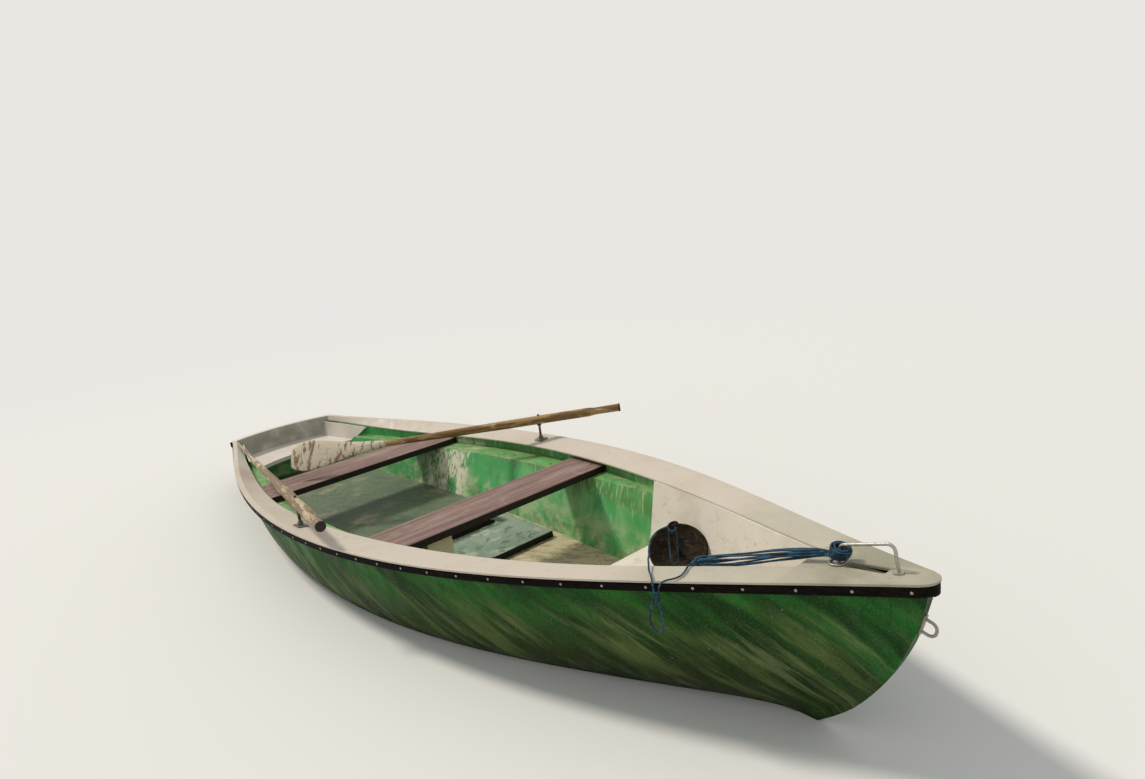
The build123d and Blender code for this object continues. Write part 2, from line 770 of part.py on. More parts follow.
for name, (heading, roll) in OARS.items():
    turn, dip, lean = radians(heading), radians(oar_drop), radians(roll)
    along = Vector(cos(turn) * cos(dip), sin(turn) * cos(dip), -sin(dip))
    flat = Vector(-sin(turn), cos(turn), 0)
    upward = along.cross(flat)
    across_blade = flat * cos(lean) + upward * sin(lean)
    pin = Vector(pin_x, SIDES[name] * pin_y, axis_z)
    oar_plane = Plane(origin=pin, x_dir=along, z_dir=-flat)
    blade_root = oar_outer - blade_length
    with BuildPart() as oar_loom:
        with BuildSketch(oar_plane):
            with BuildLine():
                Polyline(
                    (cap_long - oar_inner, 0),
                    (cap_long - oar_inner, grip_radius),
                    (grip_long - oar_inner, grip_radius - 1),
                    (grip_long - oar_inner + 30, loom_radius),
                    (150, loom_radius),
                    (blade_root, neck_radius),
                    (blade_root, 0),
                    close=True,
                )
            make_face()
        revolve(axis=Axis(pin, along))
        with Locations(pin):
            Cylinder(pin_radius + pin_play, 120, mode=Mode.SUBTRACT)
    finish(oar_loom.part, f"oar_loom_{name}")

    with BuildPart() as oar_blade:
        sections = []
        for place, half_width, half_thick in (
            (blade_root + seat_gap, neck_radius, neck_radius),
            (blade_root + 110, 30, 13),
            (blade_root + 270, blade_width / 2 - 4, blade_thick / 2),
            (oar_outer - 14, blade_width / 2, 5.5),
            (oar_outer, blade_width / 2 - 12, 4),
        ):
            blade_plane = Plane(origin=pin + along * place, x_dir=across_blade, z_dir=along)
            with BuildSketch(blade_plane) as section:
                Ellipse(half_width, half_thick)
            sections.append(section.sketch)
        loft(sections)
    finish(oar_blade.part, f"oar_blade_{name}")

    with BuildPart() as oar_cap:
        with BuildSketch(Plane(origin=pin - along * oar_inner, z_dir=along)):
            Circle(grip_radius + 1.5)
        extrude(amount=cap_long - seat_gap)
        fillet(oar_cap.edges(), radius=1.5)
    finish(oar_cap.part, f"oar_cap_{name}")

# Mushroom anchor lying in the bow well
anchor_axis = Vector(0.369, -0.456, 0.81).normalized()
ring_facing = Vector(-0.724, 0.405, 0.558)
bowl_sphere = (bowl_radius**2 + bowl_depth**2) / (2 * bowl_depth)
sphere_x, sphere_y = anchor_place
line = Axis((sphere_x, sphere_y, 360), (0, 0, -1))
floor_point, floor_normal = bow_well.part.find_intersection_points(line)[0]
lift = (bowl_sphere + seat_gap + 0.3) / abs(floor_normal.Z)
bowl_centre = floor_point + Vector(0, 0, lift)
apex = bowl_centre - anchor_axis * bowl_sphere
side_dir = anchor_axis.cross(ring_facing).normalized()
anchor_plane = Plane(origin=apex, x_dir=side_dir, z_dir=side_dir.cross(anchor_axis))
inner_sphere = bowl_sphere - bowl_wall
with BuildPart() as anchor_bowl:
    with BuildSketch(anchor_plane):
        with BuildLine():
            rim_low = (bowl_radius, bowl_depth)
            half_turn = atan2(bowl_radius, bowl_sphere - bowl_depth)
            rim_high = (inner_sphere * sin(half_turn), bowl_sphere - inner_sphere * cos(half_turn))
            mid = half_turn / 2
            ThreePointArc(
                (0, 0), (bowl_sphere * sin(mid), bowl_sphere * (1 - cos(mid))), rim_low
            )
            Line(rim_low, rim_high)
            ThreePointArc(
                rim_high,
                (inner_sphere * sin(mid), bowl_sphere - inner_sphere * cos(mid)),
                (0, bowl_wall),
            )
            Line((0, bowl_wall), (0, 0))
        make_face()
    revolve(axis=Axis(apex, anchor_axis))
finish(anchor_bowl.part, "anchor_bowl")

foot_circle = shank_radius + 7
shank_seat = inner_sphere - sqrt(inner_sphere**2 - foot_circle**2) + seat_gap
shank_top = apex + anchor_axis * shank_long
with BuildPart() as anchor_shank:
    with BuildSketch(Plane(origin=apex + anchor_axis * (bowl_wall + shank_seat), z_dir=anchor_axis)):
        Circle(foot_circle)
    extrude(amount=10, taper=20)
    with BuildSketch(Plane(origin=apex + anchor_axis * (bowl_wall + shank_seat), z_dir=anchor_axis)):
        Circle(shank_radius)
    extrude(amount=shank_long - bowl_wall - 12)
    eye_ring = Plane(origin=shank_top, x_dir=anchor_axis, z_dir=ring_facing)
    with Locations(eye_ring):
        Torus(shank_eye, shank_eye_wire)
finish(anchor_shank.part, "anchor_shank")


# Rope. A free stretch is a tube of straight runs and arcs as large as the runs allow.
def rope_path(name, points):
    """Straight runs with an arc at each corner; the radii are printed."""
    corners = [Vector(*point) for point in points]
    radii = []
    for before, here, after in zip(corners, corners[1:], corners[2:]):
        first, second = here - before, after - here
        run = min(first.length, second.length)
        radii.append(0.45 * run / tan(radians(first.get_angle(second) / 2)))
    print(name, "radii", [round(radius) for radius in radii])
    with BuildLine() as path:
        FilletPolyline(*points, radius=radii)
    return path.line


def tube(path, radius):
    """Round tube along a path."""
    with BuildPart() as swept:
        with BuildSketch(Plane(origin=path @ 0, z_dir=path % 0)):
            Circle(radius)
        sweep(path=path)
    return swept.part


# From the anchor's ring over the starboard flange and down outside to a spliced eye
ring_side = -side_dir if side_dir.Y > 0 else side_dir
lead_start = shank_top + ring_side * (shank_eye + shank_eye_wire + 0.5)
LEAD_POINTS = [
    tuple(lead_start),
    tuple(lead_start + ring_side * 26),
    (3236, 22, 386),
    (3268, -28, 384),
    (3312, -76, 392),
    (3362, -124, 410),
    (3410, -172, 436),
    (3446, -208, 456),
    (3478, -238, 460),
    (3510, -270, 463),
    (3540, -292, 469),
    (3561, -310, 468),
    (3570, -317, 450),
    (3569, -315, 425),
    (3556, -314, 396),
    (3543, -314, 366),
    (3540, -314, 336),
    (3552, -312, 314),
    (3572, -308, 314),
    (3583, -304, 336),
    (3582, -304, 366),
    (3577, -307, 394),
    (3574, -309, 416),
]
with BuildPart() as rope_lead:
    add(tube(rope_path("rope_lead", LEAD_POINTS), rope_radius))
finish(rope_lead.part, "rope_lead")

# Bunched rope hanging from the foredeck over the well, and the tight ball at the handle
HANK_POINTS = [
    (3594, -122, 457),
    (3650, -92, 466),
    (3715, -68, 482),
    (3782, -46, 502),
    (3846, -26, 517),
    (3900, -10, 530),
    (handle_x[0] + 2, 0, 549),
]
ball_centre = (handle_x[0] + 7, 0, sheer(handle_x[0]) + ball_radius + 8)
with BuildPart() as ball_space:
    with Locations(ball_centre):
        Sphere(ball_radius + seat_gap)
with BuildPart() as rope_hank:
    add(tube(rope_path("rope_hank", HANK_POINTS), hank_neck))
    add(tube(rope_path("loose part", HANK_POINTS[:5]), hank_radius))
    with Locations(HANK_POINTS[4]):
        Sphere(hank_radius + 0.5)
    add(ball_space.part, mode=Mode.SUBTRACT)
    add(slab((3000, ball_centre[0]), wide, tall), mode=Mode.INTERSECT)
finish(rope_hank.part, "rope_hank")

with BuildPart() as rope_ball:
    with Locations(ball_centre):
        Sphere(ball_radius)
    add(tube(handle_path.line, handle_radius + seat_gap), mode=Mode.SUBTRACT)
finish(rope_ball.part, "rope_ball")

# From the splice back over the rail, in a slack loop on the flange, and into the bunch
TAIL_POINTS = [
    (3579, -309, 428),
    (3583, -311, 448),
    (3587, -306, 466),
    (3597, -293, 473),
    (3610, -274, 473),
    (3613, -248, 472),
    (3600, -218, 469),
    (3582, -190, 465),
    (3574, -163, 463),
    (3582, -138, 460),
    HANK_POINTS[0],
]
with BuildPart() as rope_tail:
    add(tube(rope_path("rope_tail", TAIL_POINTS), rope_radius))
    add(rope_hank.part, mode=Mode.SUBTRACT)
finish(rope_tail.part, "rope_tail")
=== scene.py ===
"""Rowing boat afloat, oars stowed inside: finishes, ropes, fastenings and stage round the fixed model."""

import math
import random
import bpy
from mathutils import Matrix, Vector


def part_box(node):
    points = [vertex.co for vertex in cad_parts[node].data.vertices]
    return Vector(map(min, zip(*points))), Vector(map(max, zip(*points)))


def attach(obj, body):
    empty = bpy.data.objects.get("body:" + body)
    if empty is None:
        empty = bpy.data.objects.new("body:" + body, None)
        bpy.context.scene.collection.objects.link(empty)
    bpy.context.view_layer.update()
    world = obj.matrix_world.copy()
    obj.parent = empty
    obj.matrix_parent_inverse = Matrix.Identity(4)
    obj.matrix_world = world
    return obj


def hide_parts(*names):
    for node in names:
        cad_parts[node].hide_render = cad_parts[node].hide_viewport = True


bl_info = {
    "name": "Rowing Boat",
    "version": (1, 0, 0),
    "blender": (4, 5, 0),
    "location": "3D View > Sidebar > Rowing Boat",
    "description": "Finishes, ropes, fastenings and stage of a glass-fibre rowing boat",
    "category": "Object",
}

import bmesh
import bpy
from bpy.props import FloatProperty, FloatVectorProperty, IntProperty, PointerProperty
from mathutils import Matrix, Quaternion, Vector
from mathutils.bvhtree import BVHTree

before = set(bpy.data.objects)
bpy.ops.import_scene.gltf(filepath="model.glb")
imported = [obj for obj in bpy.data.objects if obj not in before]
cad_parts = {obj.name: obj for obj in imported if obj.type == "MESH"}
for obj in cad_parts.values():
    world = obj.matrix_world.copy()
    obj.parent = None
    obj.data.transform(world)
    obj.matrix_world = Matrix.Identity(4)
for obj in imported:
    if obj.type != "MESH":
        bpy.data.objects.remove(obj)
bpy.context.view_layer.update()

MM = 0.001
# The colour sockets of Blender's Mix node, which share their names with others
MIX_FACTOR, MIX_UNDER, MIX_OVER, MIX_RESULT = 0, 6, 7, 2

# The rail's top is STERN_SHEER + SHEER_RISE * x * x above the water
STERN_SHEER = 0.254
SHEER_RISE = 0.0158
# Which way the oars lie, in degrees round the upright axis, for the grain of their wood
NEAR_OAR_HEADING = 172
FAR_OAR_HEADING = 226

# Where the lead runs, in metres: from the anchor's ring across the well, over the rail and round its eye
LEAD_POINTS = [
    (3.2456, 0.0837, 0.3960), (3.2305, 0.0631, 0.3913), (3.236, 0.022, 0.386), (3.268, -0.028, 0.384),
    (3.312, -0.076, 0.392), (3.362, -0.124, 0.410), (3.410, -0.172, 0.436), (3.446, -0.208, 0.456),
    (3.478, -0.238, 0.460), (3.510, -0.270, 0.463), (3.540, -0.292, 0.469), (3.561, -0.310, 0.468),
    (3.570, -0.317, 0.450), (3.569, -0.315, 0.425), (3.556, -0.314, 0.396), (3.543, -0.314, 0.366),
    (3.540, -0.314, 0.336), (3.552, -0.312, 0.314), (3.572, -0.308, 0.314), (3.583, -0.304, 0.336),
    (3.582, -0.304, 0.366), (3.577, -0.307, 0.394), (3.574, -0.309, 0.416),
]
# From the splice back over the rail, in a slack loop on the flange, and into the bunch
TAIL_POINTS = [
    (3.579, -0.309, 0.428), (3.583, -0.311, 0.448), (3.587, -0.306, 0.466), (3.597, -0.293, 0.473),
    (3.610, -0.274, 0.473), (3.613, -0.248, 0.472), (3.600, -0.218, 0.469), (3.582, -0.190, 0.465),
    (3.574, -0.163, 0.463), (3.582, -0.138, 0.460),
]
# The middle of the bunch, from its loose end over the foredeck's edge up to the handle
BUNCH_POINTS = [
    (3.594, -0.122, 0.457), (3.650, -0.092, 0.466), (3.715, -0.068, 0.482), (3.782, -0.046, 0.502),
    (3.846, -0.026, 0.517), (3.900, -0.010, 0.530),
]
# Where each run lies round that middle, in degrees, how far out at either end, and how far it twists
RUN_ANGLES = (0, 180, 45, 225, 90, 270, 135, 315)
LOOSE_REACH = 0.0159
NECK_REACH = 0.0081
BUNCH_TWIST = math.radians(70)
# The handle's leg, the heights of the half turns round it, and the knot that hides them
LEG_CENTRE = (3.941, 0.0)
LEG_TURN_HEIGHTS = (0.522, 0.529, 0.536, 0.543)
TURN_RADIUS = 0.0142
KNOT_CENTRE = (3.945, 0.0, 0.545)
# Its two layers: first and last radius in mm; first and last latitude, and rise in a turn, in degrees
KNOT_LAYERS = ((20.5, 20.5, -42.0, 26.0, 17.6), (20.5, 27.0, 26.0, -55.0, -13.4))
# The round turns on the anchor's shank, the shank's direction and the way their end falls from it
HITCH_CENTRE = (3.249, 0.101, 0.3856)
SHANK_AXIS = (0.369, -0.456, 0.810)
HITCH_RADIUS = 0.013
HITCH_DROP = 0.092
# How many corners the laid rope has round it, and how many rings in each lay
ROPE_CORNERS = 18
RINGS_PER_LAY = 12
# Where the eye's splice is whipped
SPLICE_ENDS = ((3.572, -0.310, 0.405), (3.5755, -0.310, 0.432))
# The foremost rail screw, how far the last one stays from the rail's end, and a plank's from its end
FIRST_SCREW = 4.157
RAIL_END_GAP = 0.03
PLANK_END_GAP = 0.07
# A screw head's profile and slot, in shares of its radius: how far out and how high each ring is
HEAD_PROFILE = ((0.0, 0.30), (0.35, 0.29), (0.62, 0.26), (0.86, 0.17), (1.0, 0.0), (1.0, -0.12))
SLOT_HALF = 0.14
SLOT_DEPTH = 0.16
# The floor: the point that its rings spread from, how far they spread and where it fades to the backdrop
MIDDLE = Vector((2.0, 0.0, 0.0))
FLOOR_SPREADS = (0.0, 0.3, 1.5, 6.0, 40.0)
FLOOR_FADE = (3.0, 9.0)
BACKDROP = "#e9e7e3"
# The camera, solved from the photographed gunwale, and the way the sunlight falls
CAMERA_PLACE = (4.993, -1.662, 1.508)
CAMERA_RIGHT = Vector((0.646, 0.755, -0.116))
CAMERA_DOWN = Vector((0.109, -0.242, -0.964))
CAMERA_FORWARD = Vector((-0.756, 0.610, -0.239))
FOCAL_LENGTH = 24.95
SENSOR_WIDTH = 36
SUNLIGHT = Vector((0.62, 0.22, -0.75))


def srgb(code):
    """The linear colour of an sRGB hex value, with full alpha."""
    channels = [int(code[i:i + 2], 16) / 255 for i in (1, 3, 5)]
    linear = [c / 12.92 if c <= 0.04045 else ((c + 0.055) / 1.055) ** 2.4 for c in channels]
    return (*linear, 1.0)


class HullFinish(bpy.types.PropertyGroup):
    """Colours of the moulded shells."""

    topsides: FloatVectorProperty(
        name="Topsides", description="Green gelcoat of the outer hull",
        default=srgb("#1f5a1b"), size=4, subtype="COLOR", min=0, max=1,
    )
    flange: FloatVectorProperty(
        name="Flange", description="Cream gelcoat of flange, deck and stern",
        default=srgb("#c9bdad"), size=4, subtype="COLOR", min=0, max=1,
    )
    wall: FloatVectorProperty(
        name="Wall", description="Green gelcoat of the cockpit walls",
        default=srgb("#52aa62"), size=4, subtype="COLOR", min=0, max=1,
    )
    well: FloatVectorProperty(
        name="Bow well", description="Pale gelcoat of the bow well",
        default=srgb("#ddd5c6"), size=4, subtype="COLOR", min=0, max=1,
    )


class RopeSettings(bpy.types.PropertyGroup):
    """Sizes and colour of the laid rope."""

    diameter: FloatProperty(
        name="Diameter", description="Across the rope's three strands",
        default=6 * MM, min=3 * MM, max=20 * MM, unit="LENGTH",
    )
    lay: FloatProperty(
        name="Lay", description="Length in which a strand goes once round",
        default=20 * MM, min=8 * MM, max=80 * MM, unit="LENGTH",
    )
    runs: IntProperty(
        name="Runs", description="Runs of rope in the bunch, an odd number", default=9, min=1, max=9,
    )
    colour: FloatVectorProperty(
        name="Fibre", description="Blue polypropylene fibre",
        default=srgb("#1f4f6b"), size=4, subtype="COLOR", min=0, max=1,
    )


class FasteningSettings(bpy.types.PropertyGroup):
    """Sizes of the screws that hold the rail and the planks."""

    pitch: FloatProperty(
        name="Pitch", description="From one rail screw to the next",
        default=125 * MM, min=50 * MM, max=400 * MM, unit="LENGTH",
    )
    head: FloatProperty(
        name="Head", description="Diameter of a screw head",
        default=8 * MM, min=4 * MM, max=20 * MM, unit="LENGTH",
    )


def add(tree, kind, inputs, **settings):
    """Adds a node, sets it up, and links or sets the inputs given by name or number."""
    node = tree.nodes.new(kind)
    for name, value in settings.items():
        setattr(node, name, value)
    for key, value in inputs.items():
        if isinstance(value, bpy.types.NodeSocket):
            tree.links.new(value, node.inputs[key])
        else:
            node.inputs[key].default_value = value
    return node


def surface(name, roughness, metallic=0.0, gloss=0.4):
    """Starts a material; returns it with its tree, its shader and where on the piece it is, in metres."""
    material = bpy.data.materials.new(name)
    material.use_nodes = True
    tree = material.node_tree
    shader = tree.nodes["Principled BSDF"]
    shader.inputs["Roughness"].default_value = roughness
    shader.inputs["Metallic"].default_value = metallic
    shader.inputs["Specular IOR Level"].default_value = gloss
    return material, tree, shader, add(tree, "ShaderNodeTexCoord", {}).outputs["Object"]


def patches(tree, place, grain, start, full, share=1.0, mask=None, seed=0.0, detail=5.0, lean=(0, 0, 0)):
    """How far patches cover a spot, up to share: their grain is in mm along axes leaned by degrees."""
    stretch = add(tree, "ShaderNodeMapping", {
        "Vector": place, "Scale": [size * MM for size in grain], "Location": (seed, seed * 2, seed * 3),
        "Rotation": [math.radians(angle) for angle in lean],
    }, vector_type="TEXTURE")
    cloud = add(tree, "ShaderNodeTexNoise", {
        "Vector": stretch.outputs[0], "Scale": 1.0, "Detail": detail, "Roughness": 0.6,
    })
    cover = add(tree, "ShaderNodeMapRange", {
        "Value": cloud.outputs["Fac"], "From Min": start, "From Max": full, "To Max": share,
    }, interpolation_type="SMOOTHSTEP")
    if mask is None:
        return cover.outputs[0]
    return add(tree, "ShaderNodeMath", {0: cover.outputs[0], 1: mask}, operation="MULTIPLY").outputs[0]


def zone(tree, place, limits, soft=0.03, facing=None):
    """1 inside limits in metres along the axes and 0 outside, with a soft edge; facing is up or side."""
    parts = add(tree, "ShaderNodeSeparateXYZ", {0: place}).outputs
    tests = []
    for axis, (low, high) in limits.items():
        if low is not None:
            tests.append((parts[axis], low - soft, low + soft))
        if high is not None:
            tests.append((parts[axis], high + soft, high - soft))
    if facing:
        normal = add(tree, "ShaderNodeTexCoord", {}).outputs["Normal"]
        upright = add(tree, "ShaderNodeSeparateXYZ", {0: normal}).outputs[2]
        tests.append((upright, 0.5, 0.8) if facing == "up" else (upright, 0.75, 0.45))
    mask = None
    for value, none, full in tests:
        inside = add(tree, "ShaderNodeMapRange", {
            "Value": value, "From Min": none, "From Max": full,
        }, interpolation_type="SMOOTHSTEP").outputs[0]
        if mask is not None:
            inside = add(tree, "ShaderNodeMath", {0: inside, 1: mask}, operation="MULTIPLY").outputs[0]
        mask = inside
    return mask


def stain(tree, colour, tone, cover):
    """Lays a tone over a colour where cover says."""
    over = srgb(tone) if isinstance(tone, str) else tone
    layers = add(tree, "ShaderNodeMix", {
        MIX_FACTOR: cover, MIX_UNDER: colour, MIX_OVER: over,
    }, data_type="RGBA")
    return layers.outputs[MIX_RESULT]


def dulled(tree, shader, cover, low, high):
    """Lets the roughness go from low to high with a cover."""
    rough = add(tree, "ShaderNodeMapRange", {"Value": cover, "To Min": low, "To Max": high})
    tree.links.new(rough.outputs[0], shader.inputs["Roughness"])


def relief(tree, shader, height, depth, under=None):
    """Raises the surface by depth mm where height is 1, over an earlier relief."""
    bump = add(tree, "ShaderNodeBump", {"Height": height, "Distance": depth * MM, "Strength": 1.0})
    if under is not None:
        tree.links.new(under, bump.inputs["Normal"])
    tree.links.new(bump.outputs[0], shader.inputs["Normal"])
    return bump.outputs[0]


def dress(material, *names):
    """Gives carried-over nodes a material."""
    for name in names:
        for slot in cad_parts[name].material_slots:
            slot.material = material


def polyester_topsides(colour):
    """Green polyester gelcoat from a polished mould: satin, with slanting streaks of painted shadow and
    painted reflection, a painted sunlit band under the rail, upright dark streaks and scuffs.
    """
    material, tree, shader, place = surface("green polyester gelcoat", 0.5, gloss=0.09)
    x, y, z = add(tree, "ShaderNodeSeparateXYZ", {0: place}).outputs
    square = add(tree, "ShaderNodeMath", {0: x, 1: x}, operation="MULTIPLY").outputs[0]
    rail = add(tree, "ShaderNodeMath", {
        0: square, 1: SHEER_RISE, 2: STERN_SHEER,
    }, operation="MULTIPLY_ADD").outputs[0]
    drop = add(tree, "ShaderNodeMath", {0: rail, 1: z}, operation="SUBTRACT").outputs[0]
    below = add(tree, "ShaderNodeCombineXYZ", {0: x, 1: y, 2: drop}).outputs[0]
    slant = (0, 44, 0)
    low = zone(tree, below, {2: (0.19, None)}, 0.15)
    tone = stain(tree, tuple(colour), "#2c371a", low)
    bright = zone(tree, below, {2: (None, 0.15)}, 0.10)
    # Painted light: paler green slanting patches in the band under the rail stand for sunlit spots.
    tone = stain(tree, tone, "#2d7a2a", patches(
        tree, place, (420, 200, 120), 0.44, 0.66, share=0.7, mask=bright, seed=1, detail=3, lean=slant,
    ))
    bow = zone(tree, place, {0: (3.85, None)}, 0.25)
    tone = stain(tree, tone, "#25692a", patches(
        tree, place, (300, 300, 200), 0.30, 0.60, share=0.75, mask=bow, seed=2, detail=3, lean=slant,
    ))
    # Painted shadow: dark slanting streaks across the whole hull stand for the shadows of reeds.
    tone = stain(tree, tone, "#102a0c", patches(
        tree, place, (800, 260, 100), 0.42, 0.62, share=0.8, seed=3, detail=2, lean=slant,
    ))
    # Painted reflection: the paler slanting streaks in this band stand for light reflected onto the hull.
    reflected_light_band = zone(tree, below, {2: (0.12, 0.52)}, 0.08)
    tone = stain(tree, tone, "#5f6e3c", patches(
        tree, place, (950, 260, 75), 0.47, 0.68, share=0.7, mask=reflected_light_band, seed=7, detail=3, lean=slant,
    ))
    tone = stain(tree, tone, "#858f5e", patches(
        tree, place, (700, 200, 34), 0.54, 0.70, share=0.4, mask=reflected_light_band, seed=9, detail=3, lean=slant,
    ))
    tone = stain(tree, tone, "#3c4a28", patches(
        tree, place, (60, 60, 60), 0.50, 0.70, share=0.35, seed=10,
    ))
    tone = stain(tree, tone, "#12300f", patches(
        tree, place, (16, 16, 210), 0.54, 0.68, share=0.45, mask=bright, seed=11, detail=3,
    ))
    tone = stain(tree, tone, "#9aa37c", patches(
        tree, place, (11, 6, 26), 0.70, 0.74, share=0.6, seed=12, detail=3,
    ))
    tone = stain(tree, tone, "#6f8a5a", patches(
        tree, place, (4, 4, 4), 0.58, 0.70, share=0.4, seed=13, detail=2,
    ))
    tone = stain(tree, tone, "#0b1808", patches(
        tree, place, (5, 5, 5), 0.57, 0.68, share=0.5, seed=15, detail=2,
    ))
    wet = zone(tree, place, {2: (None, 0.02)}, 0.035)
    tone = stain(tree, tone, "#20220f", patches(
        tree, place, (120, 120, 30), 0.30, 0.55, share=0.85, mask=wet, seed=17,
    ))
    tree.links.new(tone, shader.inputs["Base Color"])
    dulled(tree, shader, patches(tree, place, (60, 60, 160), 0.35, 0.7, seed=5), 0.4, 0.65)
    ripple = relief(tree, shader, patches(tree, place, (180, 180, 180), 0.3, 0.7, detail=2), 0.6)
    relief(tree, shader, patches(tree, place, (4, 4, 4), 0.4, 0.7, seed=13, detail=2), 0.08, ripple)
    return material


def polyester_cream(name, colour, dirt=1.0, seed=0.0, tint="#b3aa92", where=None, facing=None):
    """Cream polyester gelcoat chalked by the sun: matt, tinted in one zone, with grime and specks."""
    material, tree, shader, place = surface(name, 0.55, gloss=0.3)
    tone = stain(tree, tuple(colour), "#bfb2a0", patches(
        tree, place, (260, 260, 260), 0.42, 0.66, share=0.5, seed=seed,
    ))
    if where:
        spread = zone(tree, place, where, 0.12, facing)
        tone = stain(tree, tone, tint, patches(
            tree, place, (260, 160, 160), 0.20, 0.60, share=0.85, mask=spread, seed=seed + 1, detail=3,
        ))
    tone = stain(tree, tone, "#b3a88e", patches(
        tree, place, (90, 60, 60), 0.55, 0.76, share=0.4 * dirt, seed=seed + 2,
    ))
    tone = stain(tree, tone, "#857b62", patches(
        tree, place, (26, 14, 26), 0.62, 0.74, share=0.4 * dirt, seed=seed + 4,
    ))
    tone = stain(tree, tone, "#463c2a", patches(
        tree, place, (6, 6, 6), 0.69, 0.73, share=0.6 * dirt, seed=seed + 6, detail=2,
    ))
    tree.links.new(tone, shader.inputs["Base Color"])
    dulled(tree, shader, patches(tree, place, (60, 60, 60), 0.35, 0.7, seed=seed + 8), 0.45, 0.72)
    wave = relief(tree, shader, patches(tree, place, (120, 120, 120), 0.3, 0.7, detail=2), 0.4)
    relief(tree, shader, patches(tree, place, (4, 4, 4), 0.4, 0.7, detail=3), 0.08, wave)
    return material


def polyester_cockpit(colour):
    """Green gelcoat of the inner moulding: streaked walls, algae on the ledge, silt on the floor, painted
    shade and a water stain on the aft floor.
    """
    material, tree, shader, place = surface("inner polyester gelcoat", 0.5, gloss=0.3)
    floor = zone(tree, place, {2: (None, 0.02)}, 0.012, "up")
    ledge = zone(tree, place, {2: (0.15, None)}, 0.02, "up")
    rebate = zone(tree, place, {2: (0.215, None)}, 0.02, "side")
    tone = stain(tree, tuple(colour), "#3f9150", patches(
        tree, place, (420, 300, 300), 0.40, 0.66, share=0.6, seed=1,
    ))
    fore = zone(tree, place, {0: (1.9, None)}, 0.3)
    tone = stain(tree, tone, "#93c587", patches(
        tree, place, (160, 160, 420), 0.40, 0.66, share=0.8, mask=fore, seed=2, detail=3,
    ))
    tone = stain(tree, tone, "#2f7a42", patches(
        tree, place, (60, 60, 400), 0.50, 0.68, share=0.5, seed=4, detail=3,
    ))
    tone = stain(tree, tone, "#c3dcae", patches(
        tree, place, (14, 14, 300), 0.58, 0.72, share=0.45, mask=fore, seed=5, detail=3,
    ))
    foot = zone(tree, place, {2: (None, 0.12)}, 0.06, "side")
    tone = stain(tree, tone, "#b9c496", patches(
        tree, place, (90, 90, 60), 0.38, 0.62, share=0.75, mask=foot, seed=16,
    ))
    bleached = zone(tree, place, {0: (0.98, 1.42)}, 0.07)
    tone = stain(tree, tone, "#e6e0c6", patches(
        tree, place, (60, 60, 420), 0.40, 0.54, share=0.95, mask=bleached, seed=6,
    ))
    tone = stain(tree, tone, "#5f8450", patches(
        tree, place, (16, 16, 320), 0.52, 0.62, share=0.8, mask=bleached, seed=7, detail=3,
    ))
    tone = stain(tree, tone, "#5d8a4c", patches(
        tree, place, (50, 50, 120), 0.30, 0.6, share=0.85, mask=rebate,
    ))
    tone = stain(tree, tone, "#c6cba0", patches(
        tree, place, (14, 14, 120), 0.52, 0.68, share=0.7, mask=rebate, seed=8,
    ))
    tone = stain(tree, tone, "#6f9a56", patches(
        tree, place, (160, 40, 40), 0.25, 0.55, share=0.9, mask=ledge,
    ))
    tone = stain(tree, tone, "#a3a878", patches(
        tree, place, (90, 24, 24), 0.52, 0.66, share=0.7, mask=ledge, seed=17,
    ))
    tone = stain(tree, tone, "#3f5a2c", patches(
        tree, place, (30, 20, 20), 0.54, 0.66, share=0.7, mask=ledge, seed=9,
    ))
    tone = stain(tree, tone, "#cbbd96", patches(
        tree, place, (240, 200, 200), 0.20, 0.40, share=1.0, mask=floor,
    ))
    tone = stain(tree, tone, "#9c9070", patches(
        tree, place, (90, 40, 70), 0.48, 0.64, share=0.8, mask=floor, seed=10, lean=(0, 0, 30),
    ))
    tone = stain(tree, tone, "#575239", patches(
        tree, place, (22, 12, 20), 0.58, 0.68, share=0.8, mask=floor, seed=11,
    ))
    tone = stain(tree, tone, "#e0d6b6", patches(
        tree, place, (160, 26, 40), 0.56, 0.68, share=0.7, mask=floor, seed=12, lean=(0, 0, 50),
    ))
    # Painted shade with a water stain: the floor aft of the middle plank is darkened deep green, with
    # near-black specks.
    aft = zone(tree, place, {0: (None, 1.74), 2: (None, 0.02)}, 0.05, "up")
    tone = stain(tree, tone, "#2b5640", patches(
        tree, place, (260, 260, 260), 0.16, 0.50, share=0.92, mask=aft,
    ))
    tone = stain(tree, tone, "#151d12", patches(
        tree, place, (14, 10, 14), 0.58, 0.66, share=0.8, mask=aft, seed=14,
    ))
    corner = zone(tree, place, {2: (None, 0.07)}, 0.03, "side")
    tone = stain(tree, tone, "#5f6a44", patches(
        tree, place, (60, 60, 40), 0.46, 0.66, share=0.5, mask=corner, seed=15,
    ))
    tree.links.new(tone, shader.inputs["Base Color"])
    wave = relief(tree, shader, patches(tree, place, (110, 110, 110), 0.3, 0.7, detail=2), 0.6)
    grit = relief(tree, shader, patches(
        tree, place, (6, 6, 6), 0.5, 0.7, share=1.0, mask=floor,
    ), 0.6, wave)
    relief(tree, shader, patches(tree, place, (4, 4, 4), 0.4, 0.7), 0.08, grit)
    return material


